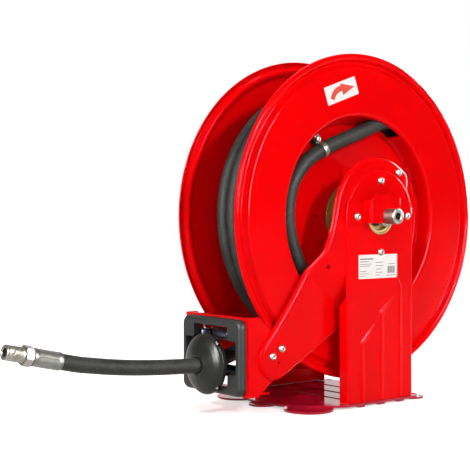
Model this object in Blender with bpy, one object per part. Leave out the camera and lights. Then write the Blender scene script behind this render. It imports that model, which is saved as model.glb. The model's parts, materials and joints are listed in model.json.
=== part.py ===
"""Industrial spring-rewind hose reel.

Two pressed discs turn on a hollow hub between two channel pedestals. A guide arm on each side
holds a roller guide at the -X side, where the hose leaves. The inlet is on the -Y side.

Lengths below are millimetres. Shapes are drawn in the axle frame: origin on the axle, midway
between the discs, +Z up. Every object is placed at AXLE_HEIGHT above the floor plane z = 0.
"""

from math import acos, atan2, ceil, cos, degrees, hypot, pi, radians, sin, sqrt

import bmesh
import bpy
from mathutils import Matrix, Vector

MM = 0.001
FIT = 0.3                    # gap between two solids that touch on the real reel

# Pressed discs
SHEET = 2.0
DISC_RADIUS = 250.0
DISC_FACE_Y = 70.0           # outer face of the flat annulus
RIM_CREST_Y = 71.0
GROOVE_RADIUS = DISC_RADIUS - 15.0
GROOVE_DEPTH = 8.0
DISH_RADIUS = 154.0          # inner face of the dish wall
DISH_FILLET = 5.0
HUB_PLATE_Y = 40.0           # outer face of the hub plate at the bottom of the dish
DISC_SEGMENTS = 36
SLOT_ANGLE = 66.0            # hose slot in the dish wall
SLOT_LENGTH = 60.0
SLOT_WIDTH = 24.0

# Frame height
AXLE_HEIGHT = DISC_RADIUS + 35.0
FLOOR = -AXLE_HEIGHT

# Drum between the discs
DRUM_CORE_RADIUS = DISH_RADIUS - 1.0
DRUM_CORE_WALL = 3.0

# Hub, swivel and inlet
HUB_SEGMENTS = 24
HUB_RADIUS = 25.0
HUB_BORE = 20.5
HUB_FRONT_Y = -107.0
HUB_FLANGE_RADIUS = 52.0
HUB_FLANGE_THICKNESS = 4.0
HUB_RING_RADIUS = 80.0       # rings on the hub tube, behind both hub plates
HUB_RING_THICKNESS = 4.0
HUB_BOLT_CIRCLE = 69.7
HUB_BOLT_COUNT = 10
HUB_BOLT_FIRST = 175.5       # angle of one bolt
HUB_BOLT_HEAD = (5.5, 4.0)   # radius and height
PORT_Y = -58.0               # plane of the outlet, clear of the bolt heads
SPINDLE_RADIUS = 10.0
SPINDLE_END_Y = -62.0
SWIVEL_FRONT_Y = -98.0
SWIVEL_BACK_Y = -38.0
SEAL_RADIUS = 14.2
INLET_THREAD_RADIUS = 11.6
INLET_BORE = 5.5
INLET_LENGTH = 20.0          # bored stub in front of the bracket
OUTLET_ANGLE = -20.0
OUTLET_RADIUS = 8.0

# Hose
HOSE_RADIUS = 11.0
RUN_Y = -52.4                # plane of the hose in the dish
CORE_FRONT_Y = -37.7
CORE_REAR_Y = 63.7
CORE_RADIUS = DISH_RADIUS + 25.3     # outside of the inner layer
WIND_RADIUS = CORE_RADIUS + 13.3     # centre line of the outer layer
WIND_PITCH = 23.0
WIND_EXIT_Y = 47.0
WIND_EXIT_ANGLE = -88.2
WIND_FULL_TURNS = 4
EXIT_STUB = 96.0             # straight hose beyond the tangent point that turns with the drum
MERGE_RADIUS = 95.0          # bend between the slot and the outer layer
DISH_SHARE = DISH_RADIUS / 154.0     # the hose in the dish keeps its distance from the wall
LOOP_SEGMENTS = 24

# Pedestals
PEDESTAL_Y = 108.5           # outer face
PEDESTAL_SHEET = 3.0
PEDESTAL_HALF_WIDTH = 70.0
FLANGE_INNER_Y = 91.0
HUB_HOLE_RADIUS = 27.5
LEFT_FLANGE_TOP = -118.0
RIGHT_FLANGE_TOP = 4.0
BEAD_WIDTH = 9.0
BEAD_HEIGHT = 2.0

# The roller guide keeps its distance from the discs' rims
GUIDE_DX = -0.68 * (DISC_RADIUS - 250.0)
GUIDE_DZ = -0.74 * (DISC_RADIUS - 250.0)

# Guide arms
ARM_SHEET = 3.0
ARM_HEAD_Y = 105.2           # outer face at the head
ARM_FOOT_Y = 81.0            # outer face at the roller box
ARM_HEAD_RADIUS = PEDESTAL_HALF_WIDTH + 20.0
ARM_HEAD_RIGHT = 64.0
ARM_FOOT_RADIUS = 31.0
ARM_FOOT = (-183.0 + GUIDE_DX, -204.0 + GUIDE_DZ)
ARM_STEP_START = 112.0       # the step towards the drum, measured along the arm
ARM_STEP_END = 144.0
ARM_LIP = 3.0

# Base plate
BASE_SHEET = 3.0
BASE_RAISE = 3.0
BASE_HALF_DEPTH = 112.0
BASE_RIGHT = 92.0
BASE_LEFT = -150.0
BASE_SHOULDER = (-80.0, -143.0, 50.0)
GROOVE_XS = (-42.0, 0.0, 42.0)
EAR_HOLE_RADIUS = 5.5

# Fasteners
SCREW_RADIUS = 4.0
HEAD_RADIUS = 6.0
HEAD_HEIGHT = 3.6
NUT_HEIGHT = 5.0
ARM_SCREW_Z = PEDESTAL_HALF_WIDTH - 16.0
EAR_SCREW_CIRCLE = PEDESTAL_HALF_WIDTH + 9.0
ARM_EAR_SCREW = (0.528 * EAR_SCREW_CIRCLE, 0.849 * EAR_SCREW_CIRCLE)
BRACKET_SCREW_X = PEDESTAL_HALF_WIDTH - 17.0
GUIDE_SCREWS = ((-175.0 + GUIDE_DX, -190.0 + GUIDE_DZ), (-192.0 + GUIDE_DX, -200.0 + GUIDE_DZ))

# Swivel bracket
BRACKET_SHEET = 3.0
BRACKET_FACE_Y = 125.0
BRACKET_FACE = (-37.0, 28.0)
BRACKET_ENDS = (-PEDESTAL_HALF_WIDTH, PEDESTAL_HALF_WIDTH - 8.0)
BRACKET_BOTTOM = -10.0
BRACKET_TOP = 23.0
BRACKET_PEAK = 33.0

# Roller guide
GUIDE_Z = -201.5 + GUIDE_DZ
BOX_FRONT_X = -231.5 + GUIDE_DX
BOX_SHEET = 2.5
BOX_HALF_WIDTH = ARM_FOOT_Y - ARM_SHEET - ARM_LIP - FIT
BOX_TOP = GUIDE_Z + 58.5
BOX_BOTTOM = GUIDE_Z - 55.5
WINDOW_HALF_WIDTH = 54.0
WINDOW_HALF_HEIGHT = 36.0
BEZEL_FRONT_X = BOX_FRONT_X - 11.5
BEZEL_HALF_WIDTH = 70.0
BEZEL_HALF_HEIGHT = 55.0
BEZEL_CORNER = 12.0
ROLLER_RADIUS = 9.0
ROLLER_PIN_RADIUS = 3.0
LEVEL_ROLLER_X = BOX_FRONT_X + 30.5
LEVEL_ROLLER_OFFSET = 27.0
LEVEL_ROLLER_HALF = 50.0
UPRIGHT_ROLLER_X = BOX_FRONT_X + 12.0
UPRIGHT_ROLLER_OFFSET = 45.0
UPRIGHT_ROLLER_HALF = 34.0

# Spring drive at the rear
ARBOR_RADIUS = 15.0
AXLE_NUT_RADIUS = 24.0
CASE_RIM_RADIUS = 118.0
CASE_RADIUS = CASE_RIM_RADIUS - 6.0
CASE_REAR_Y = 82.0
CASE_SEGMENTS = 30
CASE_HOLE_RADIUS = 30.0
COVER_SHEET = 2.5
COVER_HOLE_RADIUS = 28.0
COVER_WINDOW_CIRCLE = CASE_RADIUS - 34.0
COVER_SCREWS = 6
SPRING_THICKNESS = 1.5
SPRING_TURNS = 5
SPRING_INNER = 30.0
SPRING_REACH = 0.8           # gap between the outer end and the case
SPRING_FRONT_Y = 45.0
SPRING_REAR_Y = 78.0
RATCHET_RADIUS = 46.0
RATCHET_TEETH = 18
RATCHET_DEPTH = 5.0
RATCHET_THICKNESS = 6.0
PAWL_PIVOT = (-52.0, 36.0)
PAWL_TOOTH_ANGLE = 120.0
PAWL_LIFT = 11.0
PAWL_BOSS_RADIUS = 9.0
PAWL_PIN_RADIUS = 5.0
PAWL_RAISE = 1.5             # the pin's head lies under the pawl

# Free hose
STOPPER_BACK_X = BEZEL_FRONT_X - 1.5
STOPPER_PROFILE = ((0.0, 36.0), (1.5, 43.5), (5.0, 44.3), (8.5, 44.5), (11.5, 42.5), (14.0, 39.5),
                   (17.5, 33.0), (20.0, 26.0), (22.0, 19.5), (23.5, 15.5))
STOPPER_SPLIT = 0.3
STOPPER_SCREW = (6.0, 31.5)  # place along the hose and offset from it
STOPPER_SCREW_RADIUS = 3.6
STOPPER_POCKET = (5.0, 24.0) # radius, and depth of its floor from the hose's plane
FERRULE_RADIUS = 12.5
FERRULE_LENGTH = 44.0
COLLAR_RADIUS = 14.5
COLLAR_LENGTH = 12.0
THREAD_RADIUS = 10.5
THREAD_LENGTH = 27.0
FITTING_BORE = 6.0

RED = ("red_enamel", (0.72, 0.004, 0.006), 0.0, 0.22)
RUBBER = ("black_rubber", (0.022, 0.024, 0.022), 0.0, 0.6)
PLASTIC = ("black_plastic", (0.03, 0.031, 0.03), 0.0, 0.45)
ZINC = ("zinc_plate", (0.62, 0.62, 0.6), 1.0, 0.35)
YELLOW_ZINC = ("yellow_zinc", (0.72, 0.5, 0.2), 1.0, 0.35)
STEEL = ("plain_steel", (0.45, 0.45, 0.46), 1.0, 0.4)
BRASS = ("brass", (0.75, 0.58, 0.3), 1.0, 0.35)
SPRING_STEEL = ("spring_steel", (0.2, 0.21, 0.23), 1.0, 0.4)


def material(spec):
    """A Principled material made once for each finish."""
    name, colour, metallic, roughness = spec
    found = bpy.data.materials.get(name)
    if found:
        return found
    made = bpy.data.materials.new(name)
    made.use_nodes = True
    shader = made.node_tree.nodes["Principled BSDF"]
    shader.inputs["Base Color"].default_value = (*colour, 1.0)
    shader.inputs["Metallic"].default_value = metallic
    shader.inputs["Roughness"].default_value = roughness
    return made


def to_object(name, bm, finish, pivot=(0.0, 0.0, 0.0)):
    """Turn a millimetre bmesh of the axle frame into a named object with its origin at pivot."""
    bmesh.ops.recalc_face_normals(bm, faces=bm.faces[:])
    bmesh.ops.translate(bm, verts=bm.verts[:], vec=-Vector(pivot))
    bmesh.ops.scale(bm, verts=bm.verts[:], vec=Vector((MM, MM, MM)))
    mesh = bpy.data.meshes.new(name)
    bm.to_mesh(mesh)
    bm.free()
    mesh.shade_smooth()
    mesh.set_sharp_from_angle(angle=radians(35))
    mesh.materials.append(material(finish))
    made = bpy.data.objects.new(name, mesh)
    made.location = (Vector(pivot) + Vector((0.0, 0.0, AXLE_HEIGHT))) * MM
    bpy.context.collection.objects.link(made)
    return made


def arc(centre, radius, start, end, count):
    """Points along an arc in a plane, angles in degrees."""
    step = (end - start) / count
    angles = [radians(start + step * k) for k in range(count + 1)]
    return [(centre[0] + radius * cos(a), centre[1] + radius * sin(a)) for a in angles]


def circle(centre, radius, count=20):
    """A closed round loop."""
    return arc(centre, radius, 0.0, 360.0 - 360.0 / count, count - 1)


def bezier(p0, p1, p2, p3, count):
    """Points along a cubic curve, without its first point."""
    points = []
    for k in range(1, count + 1):
        t = k / count
        s = 1.0 - t
        weights = (s * s * s, 3 * s * s * t, 3 * s * t * t, t * t * t)
        points.append(tuple(sum(w * p[i] for w, p in zip(weights, (p0, p1, p2, p3))) for i in (0, 1)))
    return points


def rounded_rectangle(half_u, half_v, radius, centre=(0.0, 0.0), steps=4):
    """A rectangle with round corners."""
    points = []
    for quarter, (su, sv) in enumerate(((1, 1), (-1, 1), (-1, -1), (1, -1))):
        corner = (centre[0] + su * (half_u - radius), centre[1] + sv * (half_v - radius))
        points += arc(corner, radius, 90.0 * quarter, 90.0 * quarter + 90.0, steps)
    return points


PLANES = {
    "X": lambda u, v, w: (w, u, v),
    "Y": lambda u, v, w: (u, w, v),
    "Z": lambda u, v, w: (u, v, w),
}


def add_prism(bm, outline, low, high, axis="Y", holes=()):
    """Add an outline with holes, extruded along an axis, to a bmesh."""
    place = PLANES[axis]
    edges = []
    for loop in (outline, *holes):
        verts = [bm.verts.new(place(u, v, low)) for u, v in loop]
        edges += [bm.edges.new((verts[i - 1], verts[i])) for i in range(len(verts))]
    filled = bmesh.ops.triangle_fill(bm, edges=edges, use_beauty=True)
    faces = [f for f in filled["geom"] if isinstance(f, bmesh.types.BMFace)]
    raised = bmesh.ops.extrude_face_region(bm, geom=faces)
    verts = [v for v in raised["geom"] if isinstance(v, bmesh.types.BMVert)]
    shift = Vector(place(0.0, 0.0, high)) - Vector(place(0.0, 0.0, low))
    bmesh.ops.translate(bm, verts=verts, vec=shift)
    bmesh.ops.recalc_face_normals(bm, faces=bm.faces[:])


def prism(name, outline, low, high, finish, axis="Y", holes=(), pivot=(0.0, 0.0, 0.0)):
    """One extruded sheet or block."""
    bm = bmesh.new()
    add_prism(bm, outline, low, high, axis, holes)
    return to_object(name, bm, finish, pivot)


def add_revolved(bm, profile, segments, centre=(0.0, 0.0, 0.0), direction=(0.0, 1.0, 0.0)):
    """Add a closed profile of (along, radius) points, turned about a line, to a bmesh."""
    turn = Vector((0.0, 1.0, 0.0)).rotation_difference(Vector(direction)).to_matrix()
    rings = []
    for along, radius in profile:
        if radius == 0.0:
            rings.append([bm.verts.new(turn @ Vector((0.0, along, 0.0)) + Vector(centre))])
            continue
        ring = []
        for k in range(segments):
            a = 2 * pi * k / segments
            point = turn @ Vector((radius * cos(a), along, radius * sin(a)))
            ring.append(bm.verts.new(point + Vector(centre)))
        rings.append(ring)
    for first, second in zip(rings, rings[1:] + rings[:1]):
        for k in range(segments):
            corners = [first[k % len(first)], first[(k + 1) % len(first)],
                       second[(k + 1) % len(second)], second[k % len(second)]]
            unique = list(dict.fromkeys(corners))
            if len(unique) > 2:
                bm.faces.new(unique)
    bmesh.ops.recalc_face_normals(bm, faces=bm.faces[:])


def revolved(name, profile, finish, segments=32, centre=(0.0, 0.0, 0.0),
             direction=(0.0, 1.0, 0.0), pivot=(0.0, 0.0, 0.0)):
    """One turned piece."""
    bm = bmesh.new()
    add_revolved(bm, profile, segments, centre, direction)
    return to_object(name, bm, finish, pivot)


def rod_profile(low, high, radius):
    """The profile of a solid rod."""
    return [(low, 0.0), (low, radius), (high, radius), (high, 0.0)]


def ring_profile(low, high, inner, outer):
    """The profile of a plain ring."""
    return [(low, inner), (low, outer), (high, outer), (high, inner)]


def cut(target, bm, operation="DIFFERENCE"):
    """Cut a shape out of an object, or join it on, with a Boolean whose tool stays hidden."""
    tool = to_object(target.name + "_tool", bm, RED)
    tool.hide_render = True
    tool.display_type = "WIRE"
    modifier = target.modifiers.new("shape", "BOOLEAN")
    modifier.operation = operation
    modifier.solver = "EXACT"
    modifier.object = tool
    return tool


def screw(name, spot, face, side, grip):
    """A hexagon screw with its nut through a stack of sheets.

    face is the stack's outer surface along Y, side the head's direction and grip the stack.
    """
    nut = -grip - FIT
    profile = [(FIT + HEAD_HEIGHT, 0.0), (FIT + HEAD_HEIGHT, HEAD_RADIUS), (FIT, HEAD_RADIUS),
               (FIT, SCREW_RADIUS), (nut, SCREW_RADIUS), (nut, HEAD_RADIUS),
               (nut - NUT_HEIGHT, HEAD_RADIUS), (nut - NUT_HEIGHT, 0.0)]
    return revolved(name, profile, ZINC, 6, (spot[0], face, spot[1]), (0.0, side, 0.0))


# ---------------------------------------------------------------- frame

def base_outline():
    """The plate's plan: square at the right, drawn in towards its left end."""
    shoulder_x, corner_x, corner_y = BASE_SHOULDER
    right = [(BASE_RIGHT, -BASE_HALF_DEPTH + 12.0), (BASE_RIGHT, BASE_HALF_DEPTH - 12.0),
             (BASE_RIGHT - 12.0, BASE_HALF_DEPTH)]
    left = [(shoulder_x, BASE_HALF_DEPTH), (corner_x, corner_y), (BASE_LEFT, 12.0),
            (BASE_LEFT, -12.0), (corner_x, -corner_y), (shoulder_x, -BASE_HALF_DEPTH)]
    return right + left + [(BASE_RIGHT - 12.0, -BASE_HALF_DEPTH)]


EARS = (((-122.0, -80.0), 37.0), ((-122.0, 80.0), 37.0), ((-143.3, 0.0), 21.0),
        ((84.0, -96.0), 17.0), ((84.0, 96.0), 17.0))


def base_plate():
    """Raised plate with three pressed beads along Y and five ears down on the floor."""
    under = FLOOR + BASE_RAISE - FIT
    top = FLOOR + BASE_RAISE + BASE_SHEET
    plate = prism("base_plate", base_outline(), under, top, RED, "Z")
    ears = bmesh.new()
    for centre, radius in EARS:
        add_prism(ears, circle(centre, radius, 16), FLOOR, FLOOR + BASE_RAISE, "Z")
    cut(plate, ears, "UNION")
    beads = bmesh.new()
    for x in GROOVE_XS:
        half = BEAD_WIDTH / 2 + BASE_SHEET
        outline = [(x - half, FLOOR + BASE_RAISE), (x - half + 2.0, FLOOR), (x + half - 2.0, FLOOR),
                   (x + half, FLOOR + BASE_RAISE)]
        add_prism(beads, outline, -BASE_HALF_DEPTH + 1.0, BASE_HALF_DEPTH - 1.0, "Y")
    cut(plate, beads, "UNION")
    grooves = bmesh.new()
    for x in GROOVE_XS:
        half = BEAD_WIDTH / 2
        outline = [(x - half, top + 1.0), (x - half + 2.0, top - BASE_RAISE),
                   (x + half - 2.0, top - BASE_RAISE), (x + half, top + 1.0)]
        add_prism(grooves, outline, -PEDESTAL_Y + 8.0, PEDESTAL_Y - 8.0, "Y")
    for centre, radius in EARS:
        add_prism(grooves, circle(centre, EAR_HOLE_RADIUS, 10), FLOOR - 1.0, top + 1.0, "Z")
    cut(plate, grooves)


def pedestal_outline():
    """Round head over a straight-sided upright."""
    foot = FLOOR + BASE_RAISE + BASE_SHEET + FIT
    head = arc((0.0, 0.0), PEDESTAL_HALF_WIDTH, 0.0, 180.0, 18)
    return head + [(-PEDESTAL_HALF_WIDTH, foot), (PEDESTAL_HALF_WIDTH, foot)]


def bead_strip(path):
    """A strip of bead width along a path, with a pointed top end."""
    half = BEAD_WIDTH / 2
    left = []
    right = []
    for i, point in enumerate(path):
        before = path[max(i - 1, 0)]
        after = path[min(i + 1, len(path) - 1)]
        length = hypot(after[0] - before[0], after[1] - before[1])
        normal = (-(after[1] - before[1]) / length, (after[0] - before[0]) / length)
        width = half if i < len(path) - 1 else 0.6
        left.append((point[0] + normal[0] * width, point[1] + normal[1] * width))
        right.append((point[0] - normal[0] * width, point[1] - normal[1] * width))
    return left + right[::-1]


BEAD_PATHS = (((-39.0, -189.0), (-13.0, -163.0)), ((2.0, -145.0), (28.0, -121.0)),
              ((42.0, -107.0), (34.0, -93.0)))


def pedestal(name, side):
    """Beaded channel with a round head and a hole for the hub or the axle."""
    outer = side * PEDESTAL_Y
    inner = side * (PEDESTAL_Y - PEDESTAL_SHEET)
    foot = FLOOR + BASE_RAISE + BASE_SHEET + FIT
    hub = HUB_HOLE_RADIUS if side < 0 else ARBOR_RADIUS + FIT
    clearance = SCREW_RADIUS + FIT
    holes = [circle((0.0, 0.0), hub, 24)]
    holes += [circle((0.0, z), clearance, 10) for z in (ARM_SCREW_Z, -ARM_SCREW_Z)]
    if side < 0:
        holes += [circle((x, 0.0), clearance, 10) for x in (BRACKET_SCREW_X, -BRACKET_SCREW_X)]
    face = prism(name, pedestal_outline(), inner, outer, RED, "Y", holes)
    additions = bmesh.new()
    flange_end = side * FLANGE_INNER_Y
    for x, top in ((-PEDESTAL_HALF_WIDTH, LEFT_FLANGE_TOP), (PEDESTAL_HALF_WIDTH, RIGHT_FLANGE_TOP)):
        inward = x - PEDESTAL_SHEET * (1 if x > 0 else -1)
        outline = [(outer - side * 0.5, foot), (flange_end, foot), (flange_end, top - 16.0),
                   (outer - side * 0.5, top)]
        add_prism(additions, outline, inward, x, "X")
    cut(face, additions, "UNION")
    beads = bmesh.new()
    for start, end in BEAD_PATHS:
        strip = bead_strip([(start[0], foot + 2.0), start, end])
        add_prism(beads, strip, outer - side * 1.0, outer + side * BEAD_HEIGHT, "Y")
    cut(face, beads, "UNION")


def arm_outline(inset=0.0):
    """Crescent from a round head at the axle to a round foot at the roller box."""
    head = ARM_HEAD_RADIUS - inset
    foot = ARM_FOOT_RADIUS - inset
    right = ARM_HEAD_RIGHT - inset
    corner = degrees(acos(right / head))
    points = arc((0.0, 0.0), head, corner, 170.0, 16)
    leave = radians(170.0)
    arrive = radians(140.0)
    p0 = points[-1]
    p3 = (ARM_FOOT[0] + foot * cos(arrive), ARM_FOOT[1] + foot * sin(arrive))
    p1 = (p0[0] - 80.0 * sin(leave), p0[1] + 80.0 * cos(leave))
    p2 = (p3[0] + 80.0 * sin(arrive), p3[1] - 80.0 * cos(arrive))
    points += bezier(p0, p1, p2, p3, 9)
    points += arc(ARM_FOOT, foot, 140.0, 300.0, 8)[1:]
    low = radians(300.0)
    q0 = points[-1]
    q3 = (right, -head * sin(radians(corner)))
    q1 = (q0[0] - 110.0 * sin(low), q0[1] + 110.0 * cos(low))
    q2 = (24.0, -129.0 + inset)
    points += bezier(q0, q1, q2, q3, 8)
    return points


def step_in(bm, side):
    """Step the lower arm towards the drum, with the sheet bent along two lines."""
    length = hypot(*ARM_FOOT)
    along = Vector((ARM_FOOT[0] / length, 0.0, ARM_FOOT[1] / length))
    for distance in (ARM_STEP_START, ARM_STEP_END):
        geom = bm.verts[:] + bm.edges[:] + bm.faces[:]
        bmesh.ops.bisect_plane(bm, geom=geom, plane_co=along * distance, plane_no=along)
    drop = ARM_HEAD_Y - ARM_FOOT_Y
    for vert in bm.verts:
        s = vert.co.dot(along)
        share = min(1.0, max(0.0, (s - ARM_STEP_START) / (ARM_STEP_END - ARM_STEP_START)))
        vert.co.y -= side * drop * share


def add_band(bm, first, second):
    """Add the faces between two loops of equal length."""
    for i in range(len(first)):
        bm.faces.new((first[i - 1], first[i], second[i], second[i - 1]))


def fill_with_holes(bm, ring, holes, y):
    """Fill a loop at depth y round its holes, and return the holes' loops."""
    edges = [bm.edges.get((ring[i - 1], ring[i])) for i in range(len(ring))]
    loops = []
    for hole in holes:
        verts = [bm.verts.new((u, y, v)) for u, v in hole]
        edges += [bm.edges.new((verts[i - 1], verts[i])) for i in range(len(verts))]
        loops.append(verts)
    bmesh.ops.triangle_fill(bm, edges=edges, use_beauty=True)
    return loops


def arm_holes(side):
    """Holes of a guide arm: hub or axle, screws and, at the rear, the pawl's pin."""
    hub = HUB_HOLE_RADIUS if side < 0 else ARBOR_RADIUS + FIT
    spots = [(0.0, ARM_SCREW_Z), (0.0, -ARM_SCREW_Z), *GUIDE_SCREWS]
    holes = [circle((0.0, 0.0), hub, 24)]
    if side < 0:
        spots += [(BRACKET_SCREW_X, 0.0), (-BRACKET_SCREW_X, 0.0), ARM_EAR_SCREW]
    else:
        holes.append(circle(PAWL_PIVOT, PAWL_PIN_RADIUS + FIT, 12))
    return holes + [circle(spot, SCREW_RADIUS + FIT, 10) for spot in spots]


def guide_arm(name, side):
    """Stepped crescent plate with a lip round its edge."""
    outer = side * ARM_HEAD_Y
    inner = side * (ARM_HEAD_Y - ARM_SHEET)
    lip = inner - side * ARM_LIP
    rim = arm_outline()
    seat = arm_outline(ARM_SHEET)
    bm = bmesh.new()
    outer_seat, outer_rim, lip_rim, lip_seat, inner_seat = [
        [bm.verts.new((x, y, z)) for x, z in outline]
        for outline, y in ((seat, outer), (rim, outer), (rim, lip), (seat, lip), (seat, inner))]
    for first, second in ((outer_seat, outer_rim), (outer_rim, lip_rim), (lip_rim, lip_seat),
                          (lip_seat, inner_seat)):
        add_band(bm, first, second)
    holes = arm_holes(side)
    outer_holes = fill_with_holes(bm, outer_seat, holes, outer)
    inner_holes = fill_with_holes(bm, inner_seat, holes, inner)
    for first, second in zip(outer_holes, inner_holes):
        add_band(bm, first, second)
    step_in(bm, side)
    return to_object(name, bm, RED)


def frame_screws():
    """Screws that join pedestals, arms and bracket."""
    grip = PEDESTAL_Y - ARM_HEAD_Y + ARM_SHEET
    for word, side in (("front", -1.0), ("rear", 1.0)):
        for place, z in (("upper", ARM_SCREW_Z), ("lower", -ARM_SCREW_Z)):
            screw(f"arm_screw_{word}_{place}", (0.0, z), side * PEDESTAL_Y, side, grip)
    screw("arm_screw_front_ear", ARM_EAR_SCREW, -ARM_HEAD_Y, -1.0, ARM_SHEET)
    stack = FIT + BRACKET_SHEET
    for word, x in (("left", -BRACKET_SCREW_X), ("right", BRACKET_SCREW_X)):
        screw("bracket_screw_" + word, (x, 0.0), -PEDESTAL_Y - stack, -1.0, grip + stack)


def swivel_bracket():
    """Hat-section bracket with cut top corners that holds the inlet."""
    back = -(PEDESTAL_Y + FIT)
    flange = back - BRACKET_SHEET
    face = -BRACKET_FACE_Y
    left, right = BRACKET_FACE
    low, high = BRACKET_ENDS
    t = BRACKET_SHEET
    outline = [(low, back), (low, flange), (left, flange), (left, face), (right, face),
               (right, flange), (high, flange), (high, back), (right - t, back),
               (right - t, face + t), (left + t, face + t), (left + t, back)]
    hat = prism("swivel_bracket", outline, BRACKET_BOTTOM, BRACKET_TOP, RED, "Z")
    peak = bmesh.new()
    rise = BRACKET_PEAK - BRACKET_TOP
    top = [(left, BRACKET_TOP - 0.5), (right, BRACKET_TOP - 0.5), (right - rise, BRACKET_PEAK),
           (left + rise, BRACKET_PEAK)]
    add_prism(peak, top, face + 0.05, face + t - 0.05, "Y")
    cut(hat, peak, "UNION")
    holes = bmesh.new()
    add_revolved(holes, rod_profile(face - 2.0, face + t + 2.0, INLET_THREAD_RADIUS + FIT), 24)
    for x in (BRACKET_SCREW_X, -BRACKET_SCREW_X):
        add_revolved(holes, rod_profile(flange - 2.0, back + 2.0, SCREW_RADIUS + FIT), 12,
                     (x, 0.0, 0.0))
    cut(hat, holes)


def inlet_spindle():
    """Bored inlet: stub in front of the bracket, shoulder behind it, journal in the swivel."""
    face = -BRACKET_FACE_Y
    end = face - INLET_LENGTH
    shoulder = face + BRACKET_SHEET + FIT
    profile = [(end, INLET_BORE), (end, INLET_THREAD_RADIUS - 1.0), (end + 1.0, INLET_THREAD_RADIUS),
               (shoulder, INLET_THREAD_RADIUS), (shoulder, 15.0), (shoulder + 6.0, 15.0),
               (shoulder + 6.0, SPINDLE_RADIUS), (SPINDLE_END_Y, SPINDLE_RADIUS),
               (SPINDLE_END_Y, INLET_BORE)]
    revolved("inlet_spindle", profile, ZINC, 20)


def front_bearing():
    """Flanged bush of the hub tube in pedestal and arm."""
    inner = HUB_RADIUS + FIT
    outer = HUB_HOLE_RADIUS - FIT
    back = -(ARM_HEAD_Y - ARM_SHEET) + FIT
    profile = [(-PEDESTAL_Y, inner), (-PEDESTAL_Y, outer), (back, outer), (back, 34.0),
               (back + 3.0, 34.0), (back + 3.0, inner)]
    revolved("front_bearing", profile, YELLOW_ZINC, HUB_SEGMENTS)


def axle_arbor():
    """Fixed rear axle with the larger arbor that carries the spring's inner end."""
    shoulder = ARM_HEAD_Y - ARM_SHEET - FIT
    profile = [(4.0, 0.0), (4.0, ARBOR_RADIUS), (SPRING_FRONT_Y, ARBOR_RADIUS),
               (SPRING_FRONT_Y, 24.0), (SPRING_REAR_Y, 24.0), (SPRING_REAR_Y, ARBOR_RADIUS),
               (shoulder - 5.0, ARBOR_RADIUS), (shoulder - 5.0, 22.0), (shoulder, 22.0),
               (shoulder, ARBOR_RADIUS), (PEDESTAL_Y + 20.0, ARBOR_RADIUS), (PEDESTAL_Y + 20.0, 0.0)]
    revolved("axle_arbor", profile, STEEL, HUB_SEGMENTS)


def axle_nut():
    """Hexagon nut on the rear end of the axle."""
    low = PEDESTAL_Y + FIT
    bore = circle((0.0, 0.0), ARBOR_RADIUS + FIT, HUB_SEGMENTS)
    prism("axle_nut", circle((0.0, 0.0), AXLE_NUT_RADIUS, 6), low, low + 12.0, ZINC, "Y", [bore])


# ---------------------------------------------------------------- roller guide

def box_side_outline():
    """Side of the roller box, kept clear of the discs' rims."""
    x = BOX_FRONT_X
    z = GUIDE_Z
    return [(x, BOX_BOTTOM), (x + 18.5, BOX_BOTTOM), (x + 48.5, z - 31.5), (x + 63.5, z + 1.5),
            (x + 41.5, z + 39.0), (x + 19.5, BOX_TOP), (x, BOX_TOP)]


def roller_box():
    """Folded steel box: front with a window, two sides, top and bottom."""
    wide = BOX_HALF_WIDTH
    sheet = BOX_SHEET
    front = rounded_rectangle(wide, (BOX_TOP - BOX_BOTTOM) / 2, 1.0,
                              (0.0, (BOX_TOP + BOX_BOTTOM) / 2), 1)
    window = rounded_rectangle(WINDOW_HALF_WIDTH, WINDOW_HALF_HEIGHT, 6.0, (0.0, GUIDE_Z), 3)
    box = prism("roller_box", front, BOX_FRONT_X, BOX_FRONT_X + sheet, RED, "X", [window])
    for side in (-1.0, 1.0):
        sides = bmesh.new()
        clearance = SCREW_RADIUS + FIT
        holes = [circle(spot, clearance, 10) for spot in GUIDE_SCREWS]
        add_prism(sides, box_side_outline(), side * (wide - sheet), side * (wide + 0.02), "Y", holes)
        cut(box, sides, "UNION")
    shelves = bmesh.new()
    for low, right in ((BOX_TOP - 2 * sheet, BOX_FRONT_X + 25.5),
                       (BOX_BOTTOM + sheet, BOX_FRONT_X + 39.5)):
        outline = [(BOX_FRONT_X + 0.5, low), (right, low), (right, low + sheet),
                   (BOX_FRONT_X + 0.5, low + sheet)]
        add_prism(shelves, outline, -wide + 0.6, wide - 0.6, "Y")
    cut(box, shelves, "UNION")


def roller_bezel():
    """Plastic frame round the window with well-rounded corners."""
    outline = rounded_rectangle(BEZEL_HALF_WIDTH, BEZEL_HALF_HEIGHT, BEZEL_CORNER, (0.0, GUIDE_Z), 5)
    window = rounded_rectangle(WINDOW_HALF_WIDTH, WINDOW_HALF_HEIGHT, 6.0, (0.0, GUIDE_Z), 3)
    bezel = prism("roller_bezel", outline, BEZEL_FRONT_X, BOX_FRONT_X - FIT, PLASTIC, "X", [window])
    bevel = bezel.modifiers.new("soft edge", "BEVEL")
    bevel.width = 3.0 * MM
    bevel.segments = 1
    bevel.limit_method = "ANGLE"
    bevel.angle_limit = radians(60)


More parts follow.
